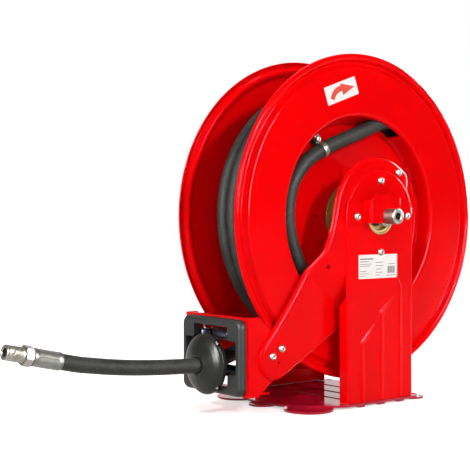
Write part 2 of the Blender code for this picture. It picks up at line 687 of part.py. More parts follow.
def rollers():
    """Four crowned rollers on fixed pins: two level, two upright."""
    inner = ROLLER_PIN_RADIUS + 0.1
    for word, sign in (("upper", 1.0), ("lower", -1.0)):
        centre = (LEVEL_ROLLER_X, 0.0, GUIDE_Z + sign * LEVEL_ROLLER_OFFSET)
        half = LEVEL_ROLLER_HALF
        revolved("roller_" + word, ring_profile(-half, half, inner, ROLLER_RADIUS), ZINC, 16,
                 centre, (0.0, 1.0, 0.0), centre)
        reach = BOX_HALF_WIDTH - BOX_SHEET - FIT
        revolved("roller_pin_" + word, rod_profile(-reach, reach, ROLLER_PIN_RADIUS), STEEL, 16,
                 centre)
    for word, sign in (("front", -1.0), ("rear", 1.0)):
        centre = (UPRIGHT_ROLLER_X, sign * UPRIGHT_ROLLER_OFFSET, GUIDE_Z)
        half = UPRIGHT_ROLLER_HALF
        revolved("roller_" + word, ring_profile(-half, half, inner, ROLLER_RADIUS), ZINC, 16,
                 centre, (0.0, 0.0, 1.0), centre)
        low = BOX_BOTTOM + 2 * BOX_SHEET + FIT - GUIDE_Z
        high = BOX_TOP - 2 * BOX_SHEET - FIT - GUIDE_Z
        revolved("roller_pin_" + word, rod_profile(low, high, ROLLER_PIN_RADIUS), STEEL, 16,
                 centre, (0.0, 0.0, 1.0))


def guide_screws():
    """Two screws on each side through the arm's foot and the roller box."""
    grip = ARM_FOOT_Y - BOX_HALF_WIDTH + BOX_SHEET
    for word, side in (("front", -1.0), ("rear", 1.0)):
        for place, spot in zip(("upper", "lower"), GUIDE_SCREWS):
            screw(f"guide_screw_{word}_{place}", spot, side * ARM_FOOT_Y, side, grip)


# ---------------------------------------------------------------- drum

def disc_profile(side):
    """Half section of a pressed disc: curled rim, groove, flat face, dish wall and hub plate.

    The outer skin is drawn first, from the rim to the hub hole, and the inner skin follows back.
    """
    face = DISC_FACE_Y
    crest = RIM_CREST_Y
    t = SHEET
    bottom = HUB_PLATE_Y
    groove = crest - 1.0 - GROOVE_DEPTH
    g = GROOVE_RADIUS
    f = DISH_FILLET
    hole = HUB_RADIUS + FIT
    wall = DISH_RADIUS
    outer = [(crest - 6.0, DISC_RADIUS), (crest - 1.0, DISC_RADIUS - 1.0),
             (crest, DISC_RADIUS - 5.0), (crest - 1.5, g + 5.5), (groove, g + 1.5),
             (groove, g - 1.5), (face, g - 8.0), (face, wall + f),
             (face - 0.3 * f, wall + 0.3 * f), (face - f, wall), (bottom + f, wall),
             (bottom, wall - f), (bottom, hole)]
    inner = [(bottom - t, hole), (bottom - t, wall - f + 1.0), (bottom + f, wall + t),
             (face - f - 1.0, wall + t), (face - t, wall + f + 1.0), (face - t, g - 9.0),
             (groove - t, g - 2.5), (groove - t, g + 2.5), (crest - t, DISC_RADIUS - 6.0),
             (crest - 6.0, DISC_RADIUS - t)]
    return [(side * along, radius) for along, radius in outer + inner]


def bolt_circle(radius, count, first):
    """Places evenly spaced on a circle round the axle, from a first angle in degrees."""
    angles = [radians(first) + 2 * pi * k / count for k in range(count)]
    return [(radius * cos(a), 0.0, radius * sin(a)) for a in angles]


def front_disc():
    """Pressed disc with the slot where the hose leaves, and the heads of the hub's bolts."""
    made = revolved("front_disc", disc_profile(-1.0), RED, DISC_SEGMENTS)
    slot = bmesh.new()
    outline = rounded_rectangle(SLOT_WIDTH / 2, SLOT_LENGTH / 2, 6.0, (RUN_Y, 0.0), 2)
    add_prism(slot, outline, DISH_RADIUS - 12.0, DISH_RADIUS + 12.0, "X")
    bmesh.ops.transform(slot, matrix=Matrix.Rotation(-radians(SLOT_ANGLE), 4, "Y"),
                        verts=slot.verts[:])
    cut(made, slot)
    bolts = bmesh.new()
    radius, height = HUB_BOLT_HEAD
    head = rod_profile(-HUB_PLATE_Y - height, -HUB_PLATE_Y + 1.0, radius)
    for place in bolt_circle(HUB_BOLT_CIRCLE, HUB_BOLT_COUNT, HUB_BOLT_FIRST):
        add_revolved(bolts, head, 6, place)
    cut(made, bolts, "UNION")


def rear_disc():
    """Pressed disc of the spring's side."""
    revolved("rear_disc", disc_profile(1.0), RED, DISC_SEGMENTS)


def drum_core():
    """Rolled tube between the two dishes."""
    reach = HUB_PLATE_Y - SHEET - FIT
    inner = DRUM_CORE_RADIUS - DRUM_CORE_WALL
    revolved("drum_core", ring_profile(-reach, reach, inner, DRUM_CORE_RADIUS), RED, DISC_SEGMENTS)


def outlet_direction():
    """Unit vector of the outlet port, square to the axle."""
    a = radians(OUTLET_ANGLE)
    return Vector((cos(a), 0.0, sin(a)))


def add_port(bm, radius, low, high):
    """Add a rod along the outlet's direction, for the port holes."""
    add_revolved(bm, rod_profile(low, high, radius), 16, (0.0, PORT_Y, 0.0), outlet_direction())


def hub_tube():
    """Hollow hub that runs in the bearings, with a ring behind each hub plate."""
    rear = HUB_PLATE_Y - SHEET - FIT
    near = rear - HUB_RING_THICKNESS
    profile = [(HUB_FRONT_Y, HUB_BORE), (HUB_FRONT_Y, HUB_RADIUS), (-rear, HUB_RADIUS),
               (-rear, HUB_RING_RADIUS), (-near, HUB_RING_RADIUS), (-near, HUB_RADIUS),
               (near, HUB_RADIUS), (near, HUB_RING_RADIUS), (rear, HUB_RING_RADIUS), (rear, HUB_BORE)]
    tube = revolved("hub_tube", profile, YELLOW_ZINC, HUB_SEGMENTS)
    port = bmesh.new()
    add_port(port, OUTLET_RADIUS + FIT, HUB_BORE - 8.0, HUB_RADIUS + 8.0)
    cut(tube, port)


def hub_flange():
    """Turned flange on the front hub plate."""
    low = -(HUB_PLATE_Y + FIT + HUB_FLANGE_THICKNESS)
    high = -(HUB_PLATE_Y + FIT)
    inner = HUB_RADIUS + FIT
    profile = ring_profile(low, high, inner, HUB_FLANGE_RADIUS)
    revolved("hub_flange", profile, YELLOW_ZINC, HUB_SEGMENTS)


def swivel_body():
    """Rotating half of the swivel joint, closed at its inner end."""
    outer = HUB_BORE - FIT
    inner = SPINDLE_RADIUS + FIT
    front = SWIVEL_FRONT_Y
    back = SWIVEL_BACK_Y
    seat = front + 11.0
    profile = [(front, SEAL_RADIUS), (front, outer), (back, outer), (back, 0.0), (back - 7.0, 0.0),
               (back - 7.0, inner), (seat, inner), (seat, SEAL_RADIUS)]
    body = revolved("swivel_body", profile, BRASS, HUB_SEGMENTS)
    port = bmesh.new()
    add_port(port, OUTLET_RADIUS - 2.0, SPINDLE_RADIUS - 3.0, HUB_BORE + 4.0)
    cut(body, port)


def swivel_seal():
    """Lip seal between spindle and swivel body."""
    low = SWIVEL_FRONT_Y + 1.0
    revolved("swivel_seal", ring_profile(low, low + 9.7, SPINDLE_RADIUS + 0.2, SEAL_RADIUS - FIT),
             RUBBER, HUB_SEGMENTS)


ELBOW_REACH = 52.0
ELBOW_BEND = 14.0
FERRULE_RUN = 30.0


def elbow_path():
    """Centre line of the outlet elbow: out of the hub, then clockwise round the drum."""
    outward = outlet_direction()
    onward = Vector((outward.z, 0.0, -outward.x))
    start = outward * (HUB_BORE + FIT)
    corner = outward * (ELBOW_REACH - ELBOW_BEND) + onward * ELBOW_BEND
    points = [start]
    for k in range(7):
        a = radians(15.0 * k)
        points.append(corner - onward * ELBOW_BEND * cos(a) + outward * ELBOW_BEND * sin(a))
    points.append(points[-1] + onward * 6.0)
    return [p + Vector((0.0, PORT_Y, 0.0)) for p in points], onward


def tube(name, points, radius, finish, resolution=2):
    """A capped round tube along a list of points."""
    data = bpy.data.curves.new(name, "CURVE")
    data.dimensions = "3D"
    data.bevel_depth = radius * MM
    data.bevel_resolution = resolution
    data.render_resolution_u = 0
    data.use_fill_caps = True
    spline = data.splines.new("POLY")
    spline.points.add(len(points) - 1)
    for slot, point in zip(spline.points, points):
        slot.co = (point[0] * MM, point[1] * MM, point[2] * MM, 1.0)
    data.materials.append(material(finish))
    made = bpy.data.objects.new(name, data)
    made.location = (0.0, 0.0, AXLE_HEIGHT * MM)
    bpy.context.collection.objects.link(made)
    return made


def outlet_elbow():
    """Steel elbow from the swivel body to the hose in the dish."""
    points, onward = elbow_path()
    tube("outlet_elbow", points, OUTLET_RADIUS - FIT, ZINC, 3)


def inner_ferrule():
    """Crimped ferrule between elbow and hose."""
    points, onward = elbow_path()
    start = points[-1] + onward * FIT
    profile = [(0.0, 0.0), (0.0, 9.0), (4.0, 9.0), (4.0, FERRULE_RADIUS), (FERRULE_RUN, FERRULE_RADIUS),
               (FERRULE_RUN, 0.0)]
    revolved("inner_ferrule", profile, ZINC, 20, tuple(start), tuple(onward))


def catmull(points, per_span):
    """A smooth curve through a list of points."""
    ends = [points[0] * 2 - points[1], *points, points[-1] * 2 - points[-2]]
    result = [points[0]]
    for i in range(1, len(ends) - 2):
        p0, p1, p2, p3 = ends[i - 1:i + 3]
        for k in range(1, per_span + 1):
            t = k / per_span
            a = p1 * 2 + (p2 - p0) * t
            b = (p0 * 2 - p1 * 5 + p2 * 4 - p3) * t * t
            c = (p1 * 3 - p0 - p2 * 3 + p3) * t * t * t
            result.append((a + b + c) * 0.5)
    return result


def straight(point, heading):
    """Three points on the straight run of one diameter at a hose's end."""
    return [point + heading * HOSE_RADIUS * k for k in range(3)]


def merge_centre():
    """Centre of the bend that takes the hose from the slot onto the outer layer."""
    point = Vector((52.0, 0.0, 146.0)) * DISH_SHARE
    heading = radians(20.4)
    along = Vector((cos(heading), 0.0, sin(heading)))
    inward = Vector((along.z, 0.0, -along.x))
    base = point + inward * MERGE_RADIUS
    target = WIND_RADIUS - MERGE_RADIUS
    b = base.dot(along)
    c = base.length_squared - target * target
    shift = -b - sqrt(b * b - c) if -b - sqrt(b * b - c) > -60.0 else -b + sqrt(b * b - c)
    centre = base + along * shift
    start = centre - inward * MERGE_RADIUS
    return centre, start, along


def wind_start_y():
    """Depth of the first outer turn, from the exit's depth and the turns between them."""
    centre, start, along = merge_centre()
    first = degrees(atan2(centre.z, centre.x))
    turns = (first - WIND_EXIT_ANGLE) / 360.0 + WIND_FULL_TURNS
    return WIND_EXIT_Y - WIND_PITCH * turns, first, turns


def winding_points():
    """Slot, bend, helix and straight exit of the hose that turns with the drum."""
    centre, start, along = merge_centre()
    first_y, first, turns = wind_start_y()
    lead = start - along * 2 * HOSE_RADIUS
    points = [Vector((lead.x, RUN_Y, lead.z))]
    heading = atan2(along.z, along.x) + pi / 2
    end = radians(first)
    steps = 5
    for k in range(steps + 1):
        a = heading + (end - heading) * k / steps
        share = k / steps
        ease = share * share * (3 - 2 * share)
        points.append(Vector((centre.x + MERGE_RADIUS * cos(a), RUN_Y + (first_y - RUN_Y) * ease,
                              centre.z + MERGE_RADIUS * sin(a))))
    count = ceil(turns * LOOP_SEGMENTS)
    for k in range(1, count + 1):
        a = radians(first) - 2 * pi * turns * k / count
        y = first_y + WIND_PITCH * turns * k / count
        points.append(Vector((WIND_RADIUS * cos(a), y, WIND_RADIUS * sin(a))))
    a = radians(WIND_EXIT_ANGLE)
    onward = Vector((sin(a), 0.0, -cos(a)))
    leave = points[-1]
    for distance in (EXIT_STUB / 3, 2 * EXIT_STUB / 3, EXIT_STUB):
        points.append(leave + onward * distance)
    return points, onward


def least_gap(points, radius):
    """Least clear distance between stretches of one tube that aren't neighbours along it."""
    best = 1e9
    skip = LOOP_SEGMENTS // 2
    for i in range(len(points)):
        for j in range(i + skip, len(points) - 1):
            a = points[j]
            b = points[j + 1]
            span = b - a
            t = max(0.0, min(1.0, (points[i] - a).dot(span) / span.length_squared))
            best = min(best, (points[i] - a - span * t).length)
    return best - 2 * radius


def hose_winding():
    """Outer layer of hose on the drum, one unbroken tube."""
    points, onward = winding_points()
    gap = least_gap(points, HOSE_RADIUS)
    print("outer layer: least gap to itself", round(gap, 2), "mm")
    tube("hose_winding", points, HOSE_RADIUS, RUBBER, 1)


def hose_core():
    """Inner layer of hose, a plain ring under the outer layer."""
    middle = DRUM_CORE_RADIUS + FIT
    rear = DISH_RADIUS + SHEET + FIT
    step = HUB_PLATE_Y - 2 * SHEET
    profile = [(CORE_FRONT_Y, middle), (CORE_FRONT_Y, CORE_RADIUS), (CORE_REAR_Y, CORE_RADIUS),
               (CORE_REAR_Y, rear), (step, rear), (step, middle)]
    revolved("hose_core", profile, RUBBER, DISC_SEGMENTS)


RUN_ROUTE = tuple((x * DISH_SHARE, z * DISH_SHARE) for x, z in (
    (6.0, -116.0), (-40.0, -128.0), (-88.0, -106.0), (-122.0, -60.0), (-138.0, -6.0),
    (-131.0, 44.0), (-104.0, 80.0), (-69.0, 101.0), (-28.0, 117.0)))


def inner_run_points():
    """Hose in the dish, from the ferrule round to the slot."""
    elbow, onward = elbow_path()
    start = elbow[-1] + onward * (FERRULE_RUN + 2 * FIT)
    centre, slot, along = merge_centre()
    stop = slot - along * (2 * HOSE_RADIUS + FIT)
    stop.y = RUN_Y
    inner = [Vector((x, RUN_Y, z)) for x, z in RUN_ROUTE]
    inner[0].y = (PORT_Y + RUN_Y) / 2
    return catmull([*straight(start, onward), *inner, *straight(stop, -along)[::-1]], 2)


def hose_inner_run():
    """Hose in the dish."""
    tube("hose_inner_run", inner_run_points(), HOSE_RADIUS, RUBBER, 2)


CLAMP_AT = RUN_ROUTE[7]
CLAMP_WIDTH = 12.0
CLAMP_HEIGHT = 12.0
CLAMP_HEAD_RADIUS = 5.5
CLAMP_SCREW_OFFSET = 18.0


def clamp_frame():
    """Clamp centre, hose direction and outward direction."""
    centre = Vector((CLAMP_AT[0], RUN_Y, CLAMP_AT[1]))
    index = RUN_ROUTE.index(CLAMP_AT)
    before = RUN_ROUTE[index - 1]
    after = RUN_ROUTE[index + 1]
    along = Vector((after[0] - before[0], 0.0, after[1] - before[1])).normalized()
    outward = Vector((-along.z, 0.0, along.x))
    return centre, along, outward


def hose_clamp():
    """Band round the hose with a foot on the hub plate for its screw."""
    centre, along, outward = clamp_frame()
    half = CLAMP_WIDTH / 2
    outer = -RUN_Y - HUB_PLATE_Y - FIT
    band = revolved("hose_clamp", ring_profile(-half, half, HOSE_RADIUS + 0.5, outer), PLASTIC, 20,
                    tuple(centre), tuple(along))
    foot = bmesh.new()
    low = -(HUB_PLATE_Y + FIT)
    grip = HOSE_RADIUS + 0.5
    outline = [(-half, grip), (half, grip), (half, CLAMP_SCREW_OFFSET + 6.5),
               (-half, CLAMP_SCREW_OFFSET + 6.5)]
    add_prism(foot, outline, low, low - CLAMP_HEIGHT, "Y",
              [circle((0.0, CLAMP_SCREW_OFFSET), SCREW_RADIUS + FIT, 12)])
    turn = Matrix(((along.x, 0.0, outward.x, centre.x), (0.0, 1.0, 0.0, 0.0),
                   (along.z, 0.0, outward.z, centre.z), (0.0, 0.0, 0.0, 1.0)))
    bmesh.ops.transform(foot, matrix=turn, verts=foot.verts[:])
    cut(band, foot, "UNION")


def clamp_screw():
    """Screw that holds the clamp down."""
    centre, along, outward = clamp_frame()
    spot = centre + outward * CLAMP_SCREW_OFFSET
    face = -(HUB_PLATE_Y + 2 * FIT + CLAMP_HEIGHT)
    end = -(HUB_PLATE_Y + FIT)
    profile = [(face - HEAD_HEIGHT, 0.0), (face - HEAD_HEIGHT, CLAMP_HEAD_RADIUS),
               (face, CLAMP_HEAD_RADIUS), (face, SCREW_RADIUS), (end, SCREW_RADIUS), (end, 0.0)]
    revolved("clamp_screw", profile, ZINC, 6, (spot.x, 0.0, spot.z))


def rear_bearing():
    """Bush between the fixed axle and the hub tube."""
    high = HUB_PLATE_Y - SHEET - FIT
    revolved("rear_bearing", ring_profile(high - 26.0, high, ARBOR_RADIUS + 0.2, HUB_BORE - FIT),
             YELLOW_ZINC, HUB_SEGMENTS)


def spring_case():
    """Cup in the rear dish with a flanged mouth."""
    low = HUB_PLATE_Y + FIT
    high = CASE_REAR_Y
    r = CASE_RADIUS
    t = SHEET
    profile = [(low, CASE_HOLE_RADIUS), (low, r - 4.0), (low + 4.0, r), (high - t, r),
               (high - t, CASE_RIM_RADIUS), (high, CASE_RIM_RADIUS), (high, r - t), (low + 4.0, r - t),
               (low + t, r - t - 2.5), (low + t, CASE_HOLE_RADIUS)]
    revolved("spring_case", profile, RED, CASE_SEGMENTS)


def spring_cover():
    """Lid of the spring case with six round holes and the heads of its six screws."""
    low = CASE_REAR_Y + FIT
    t = COVER_SHEET
    profile = ring_profile(low, low + t, COVER_HOLE_RADIUS, CASE_RIM_RADIUS)
    cover = revolved("spring_cover", profile, RED, CASE_SEGMENTS)
    holes = bmesh.new()
    for place in bolt_circle(COVER_WINDOW_CIRCLE, COVER_SCREWS, 45.0):
        add_revolved(holes, rod_profile(low - 3.0, low + t + 3.0, 6.0), 10, place)
    cut(cover, holes)
    heads = bmesh.new()
    for place in bolt_circle(CASE_RIM_RADIUS - 8.0, COVER_SCREWS, 15.0):
        add_revolved(heads, rod_profile(low + 1.0, low + t + 3.5, 5.0), 6, place)
    cut(cover, heads, "UNION")


def main_spring():
    """Flat spiral spring between arbor and case."""
    bm = bmesh.new()
    rows = []
    outer = CASE_RADIUS - SHEET - SPRING_REACH - SPRING_THICKNESS
    count = SPRING_TURNS * 16
    for k in range(count + 1):
        a = 2 * pi * SPRING_TURNS * k / count
        r = SPRING_INNER + (outer - SPRING_INNER) * k / count
        row = []
        for radius, y in ((r, SPRING_FRONT_Y), (r + SPRING_THICKNESS, SPRING_FRONT_Y),
                          (r + SPRING_THICKNESS, SPRING_REAR_Y), (r, SPRING_REAR_Y)):
            row.append(bm.verts.new((radius * cos(a), y, radius * sin(a))))
        rows.append(row)
    for a, b in zip(rows, rows[1:]):
        for i in range(4):
            bm.faces.new((a[i - 1], a[i], b[i], b[i - 1]))
    bm.faces.new(rows[0])
    bm.faces.new(rows[-1])
    return to_object("main_spring", bm, SPRING_STEEL)


def ratchet_wheel():
    """Toothed wheel on the spring cover."""
    outline = []
    for k in range(RATCHET_TEETH):
        a = 360.0 * k / RATCHET_TEETH
        step = 360.0 / RATCHET_TEETH
        for share, radius in ((0.0, RATCHET_RADIUS - RATCHET_DEPTH), (0.88, RATCHET_RADIUS),
                              (0.94, RATCHET_RADIUS)):
            b = radians(a + step * share)
            outline.append((radius * cos(b), radius * sin(b)))
    low = CASE_REAR_Y + 2 * FIT + COVER_SHEET
    prism("ratchet_wheel", outline, low, low + RATCHET_THICKNESS, STEEL, "Y",
          [circle((0.0, 0.0), 28.0, 24)])


def polar(radius, angle):
    """A point from its radius and angle about the axle."""
    return radius * cos(radians(angle)), radius * sin(radians(angle))


def pawl_outline():
    """The pawl in mesh: boss round its pin and a nose against a tooth's steep face.

    The tooth's foot lies at PAWL_TOOTH_ANGLE. The outline is then turned about the pin until the
    nose is clear of the teeth.
    """
    root = RATCHET_RADIUS - RATCHET_DEPTH
    nose = [polar(RATCHET_RADIUS - 1.5, PAWL_TOOTH_ANGLE + 10.0),
            polar(root + 1.6, PAWL_TOOTH_ANGLE + 1.6),
            polar(RATCHET_RADIUS + 1.5, PAWL_TOOTH_ANGLE + 0.6)]
    outline = arc(PAWL_PIVOT, PAWL_BOSS_RADIUS, 85.0, 265.0, 8) + nose
    turn = radians(PAWL_LIFT)
    cx, cz = PAWL_PIVOT
    return [(cx + (x - cx) * cos(turn) - (z - cz) * sin(turn),
             cz + (x - cx) * sin(turn) + (z - cz) * cos(turn)) for x, z in outline]


def pawl():
    """Pawl that stops the drum, shown lifted clear of the teeth."""
    low = CASE_REAR_Y + 2 * FIT + COVER_SHEET
    bore = circle(PAWL_PIVOT, PAWL_PIN_RADIUS + 0.15, 16)
    prism("pawl", pawl_outline(), low + PAWL_RAISE, low + RATCHET_THICKNESS, STEEL, "Y", [bore],
          (PAWL_PIVOT[0], 0.0, PAWL_PIVOT[1]))


def pawl_pin():
    """Headed pin of the pawl, riveted in the rear arm."""
    low = CASE_REAR_Y + 2 * FIT + COVER_SHEET
    x, z = PAWL_PIVOT
    inner = ARM_HEAD_Y - ARM_SHEET
    profile = [(low, 0.0), (low, 8.0), (low + PAWL_RAISE - FIT, 8.0),
               (low + PAWL_RAISE - FIT, PAWL_PIN_RADIUS),
               (low + RATCHET_THICKNESS + 4.0, PAWL_PIN_RADIUS),
               (low + RATCHET_THICKNESS + 4.0, 7.5), (inner - FIT, 7.5), (inner - FIT, PAWL_PIN_RADIUS),
               (ARM_HEAD_Y, PAWL_PIN_RADIUS), (ARM_HEAD_Y, 0.0)]
    revolved("pawl_pin", profile, ZINC, 12, (x, 0.0, z))


def pawl_spring():
    """Light coil spring round the pin, beside the pawl."""
    low = CASE_REAR_Y + 2 * FIT + COVER_SHEET + RATCHET_THICKNESS
    x, z = PAWL_PIVOT
    points = []
    for k in range(21):
        a = 2 * pi * k / 8
        points.append((x + 6.3 * cos(a), low + 0.9 + 2.2 * k / 20, z + 6.3 * sin(a)))
    tube("pawl_spring", points, 0.4, SPRING_STEEL, 1)


# ---------------------------------------------------------------- free hose

TAIL_ROUTE = tuple((x + GUIDE_DX, y, z + GUIDE_DZ) for x, y, z in (
    (-150.0, 26.0, -198.5), (-190.0, 9.0, -203.0), (-220.0, 2.0, -208.8), (-244.0, 0.0, -213.2),
    (-258.0, 0.0, -213.95), (-272.0, 0.0, -214.4), (-300.0, 0.0, -213.6), (-350.0, 0.0, -210.7),
    (-400.0, 0.0, -206.0), (-450.0, 0.0, -199.0)))
STOPPER_SPAN = (3, 5)        # the route's points at both ends of the stopper
TAIL_END = (-492.0 + GUIDE_DX, 0.0, -190.3 + GUIDE_DZ)
TAIL_HEADING = 167.0         # direction of the fitting in the XZ plane, degrees


def tail_points():
    """Hose from the drum through the rollers and the stopper to the ferrule."""
    wound, onward = winding_points()
    start = wound[-1] + onward * FIT
    a = radians(TAIL_HEADING)
    heading = Vector((cos(a), 0.0, sin(a)))
    end = Vector(TAIL_END)
    route = [Vector(p) for p in TAIL_ROUTE]
    return catmull([*straight(start, onward), *route, *straight(end, -heading)[::-1]], 2), heading


def hose_tail():
    """Free hose."""
    points, heading = tail_points()
    tube("hose_tail", points, HOSE_RADIUS, RUBBER, 2)


def hose_ferrule():
    """Crimped ferrule at the hose's free end."""
    points, heading = tail_points()
    start = points[-1] + heading * FIT
    profile = [(0.0, 0.0), (0.0, FERRULE_RADIUS - 0.8)]
    rings = 3
    for k in range(rings):
        low = FERRULE_LENGTH * (k + 0.15) / rings
        high = FERRULE_LENGTH * (k + 0.85) / rings
        profile += [(low, FERRULE_RADIUS), (high, FERRULE_RADIUS)]
        if k < rings - 1:
            profile.append((FERRULE_LENGTH * (k + 1) / rings, FERRULE_RADIUS - 0.8))
    profile += [(FERRULE_LENGTH, FERRULE_RADIUS - 0.8), (FERRULE_LENGTH, 0.0)]
    revolved("hose_ferrule", profile, ZINC, 16, tuple(start), tuple(heading))


def hose_fitting():
    """Hexagon collar and bored male end."""
    points, heading = tail_points()
    start = points[-1] + heading * (FERRULE_LENGTH + 2 * FIT)
    end = COLLAR_LENGTH + THREAD_LENGTH
    profile = [(0.0, 0.0), (0.0, THREAD_RADIUS), (end - 1.0, THREAD_RADIUS), (end, THREAD_RADIUS - 1.0),
               (end, FITTING_BORE), (6.0, FITTING_BORE), (6.0, 0.0)]
    fitting = revolved("hose_fitting", profile, ZINC, 20, tuple(start), tuple(heading))
    hexagon = bmesh.new()
    add_revolved(hexagon, ring_profile(1.0, COLLAR_LENGTH, FITTING_BORE + 1.5, COLLAR_RADIUS), 6,
                 tuple(start), tuple(heading))
    cut(fitting, hexagon, "UNION")


def stopper_z(along):
    """Height of the hose's centre line inside the stopper."""
    start, end = [Vector(TAIL_ROUTE[i]) for i in STOPPER_SPAN]
    share = (STOPPER_BACK_X - along - start.x) / (end.x - start.x)
    return start.z + (end.z - start.z) * share


def stopper_half(name, side):
    """Half of the domed stopper; the halves meet on the plane through the hose."""
    bore = HOSE_RADIUS + 2 * FIT
    profile = [*STOPPER_PROFILE, (STOPPER_PROFILE[-1][0], bore), (0.0, bore)]
    bm = bmesh.new()
    steps = 12
    rows = []
    for k in range(steps + 1):
        a = pi * k / steps
        rows.append([bm.verts.new((STOPPER_BACK_X - along, side * (STOPPER_SPLIT + radius * sin(a)),
                                   stopper_z(along) + radius * cos(a))) for along, radius in profile])
    for first, second in zip(rows, rows[1:]):
        add_band(bm, first, second)
    for row in (rows[0], rows[-1]):
        edges = [bm.edges.get((row[i - 1], row[i])) for i in range(len(row))]
        bmesh.ops.triangle_fill(bm, edges=edges, use_beauty=True)
    return to_object(name, bm, RUBBER)


def stopper_pockets(half):
    """Pockets in the front half for the heads of its two screws."""
    along, offset = STOPPER_SCREW
    radius, floor = STOPPER_POCKET
    pockets = bmesh.new()
    for sign in (1.0, -1.0):
        add_revolved(pockets, rod_profile(-60.0, -floor, radius), 12,
                     (STOPPER_BACK_X - along, 0.0, stopper_z(along) + sign * offset))
    cut(half, pockets)


def stopper_screws():
    """Heads of the two clamp screws, above and below the hose."""
    along, offset = STOPPER_SCREW
    floor = STOPPER_POCKET[1] + FIT
    for word, sign in (("upper", 1.0), ("lower", -1.0)):
        revolved("stopper_screw_" + word, rod_profile(-floor - 3.0, -floor, STOPPER_SCREW_RADIUS),
                 ZINC, 8, (STOPPER_BACK_X - along, 0.0, stopper_z(along) + sign * offset))


def build():
    """Clear the scene and make every piece."""
    for old in list(bpy.data.objects):
        bpy.data.objects.remove(old, do_unlink=True)
    base_plate()
    pedestal("front_pedestal", -1.0)
    pedestal("rear_pedestal", 1.0)
    guide_arm("front_guide_arm", -1.0)
    guide_arm("rear_guide_arm", 1.0)
    frame_screws()
    swivel_bracket()
    inlet_spindle()
    front_bearing()
    axle_arbor()
    axle_nut()
    roller_box()
    roller_bezel()
    rollers()
    guide_screws()
    front_disc()
    rear_disc()
    drum_core()
    hub_tube()
    hub_flange()
    swivel_body()
    swivel_seal()
    outlet_elbow()
    inner_ferrule()
    hose_winding()
    hose_core()
    hose_inner_run()
    hose_clamp()
    clamp_screw()
    rear_bearing()
    spring_case()
    spring_cover()
    main_spring()
    ratchet_wheel()
    pawl()
    pawl_pin()
    pawl_spring()
    hose_tail()
    hose_ferrule()
    hose_fitting()
    stopper_pockets(stopper_half("stopper_front_half", -1.0))
    stopper_half("stopper_rear_half", 1.0)
    stopper_screws()


build()
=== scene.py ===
# %% [markdown]
# # A spring rewind hose reel
#
# This lesson dresses an industrial hose reel: two pressed red discs on a hub, a wound black
# hose, two channel pedestals, a pair of crescent arms and a roller guide in front. Its plain
# solids are loaded as a fixed frame, and each visible surface is then made again, finer, as a
# surface that is worked out with numpy, or is given a better finish.
# Lengths are millimetres in the axle frame: X to the right, Y along the axle away from the
# inlet, Z up, and the origin on the axle midway between the discs.

import json
from math import acos, atan2, ceil, cos, degrees, pi, radians, sin, sqrt

import bmesh
import bpy
import numpy as np
from mathutils import Matrix, Vector


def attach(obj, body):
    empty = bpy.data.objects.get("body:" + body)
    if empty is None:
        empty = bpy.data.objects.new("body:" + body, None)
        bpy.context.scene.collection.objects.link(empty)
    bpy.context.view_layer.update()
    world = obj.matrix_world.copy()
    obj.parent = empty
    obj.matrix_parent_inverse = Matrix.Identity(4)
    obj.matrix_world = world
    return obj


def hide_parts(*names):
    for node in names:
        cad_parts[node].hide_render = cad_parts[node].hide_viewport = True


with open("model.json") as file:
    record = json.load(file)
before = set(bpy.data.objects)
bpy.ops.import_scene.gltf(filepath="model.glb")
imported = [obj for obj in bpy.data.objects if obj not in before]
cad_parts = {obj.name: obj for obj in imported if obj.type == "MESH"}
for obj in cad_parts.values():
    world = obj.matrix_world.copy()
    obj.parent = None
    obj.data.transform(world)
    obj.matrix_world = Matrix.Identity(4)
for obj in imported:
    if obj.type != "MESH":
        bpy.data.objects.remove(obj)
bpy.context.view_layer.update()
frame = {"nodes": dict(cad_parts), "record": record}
MM = 0.001
AXLE_HEIGHT = 285.0
RECORD = frame["record"]
BODY_OF = {node: body for body, nodes in RECORD["behaviour"]["bodies"].items() for node in nodes}
SLOT_OF = {part["node"]: part["material_slot"] for part in RECORD["subparts"]}


def in_world(points):
    """Points of the axle frame, in millimetres, as places in the world, in metres."""
    return (np.asarray(points) + (0.0, 0.0, AXLE_HEIGHT)) * MM


def linked(name, data):
    """A new object in the scene that shows this data."""
    made = bpy.data.objects.new(name, data)
    bpy.context.scene.collection.objects.link(made)
    return made


# %% [markdown]
# ## The camera
#
# The photograph was taken from the front left, at about the axle's height, from under 2 metres.
# The camera could be turned by hand until the picture fits. Here its place, heading and focal
# length were worked out from the outlines of the two discs, so they are written as numbers.

# %% Camera
CAMERA_PLACE = (-1.2440, -1.3171, 0.2907)
HEADING, TILT, ROLL = -38.51, -1.11, -0.14      # degrees
FOCAL_PIXELS, PICTURE_PIXELS, SENSOR = 1135.87, 470.0, 36.0

eye = bpy.data.cameras.new("photo camera")
eye.sensor_width = SENSOR
eye.lens = FOCAL_PIXELS * SENSOR / PICTURE_PIXELS
camera = linked("photo camera", eye)
turn = (Matrix.Rotation(radians(HEADING), 4, "Z") @ Matrix.Rotation(radians(90.0 + TILT), 4, "X")
        @ Matrix.Rotation(radians(ROLL), 4, "Z"))
camera.matrix_world = Matrix.Translation(CAMERA_PLACE) @ turn
bpy.context.scene.camera = camera
bpy.context.scene.view_settings.view_transform = "Standard"
print("focal length", round(eye.lens, 1), "mm")

# %% [markdown]
# ## Surfaces from grids
#
# Nearly every piece of the reel is a grid of points: rows along a profile or a path, columns
# round it. The corners of the grid's faces follow from their row and column numbers, so a few
# sums on whole arrays give all faces, and a flat map of the surface for the finishes to read.

# %% Faces of a grid


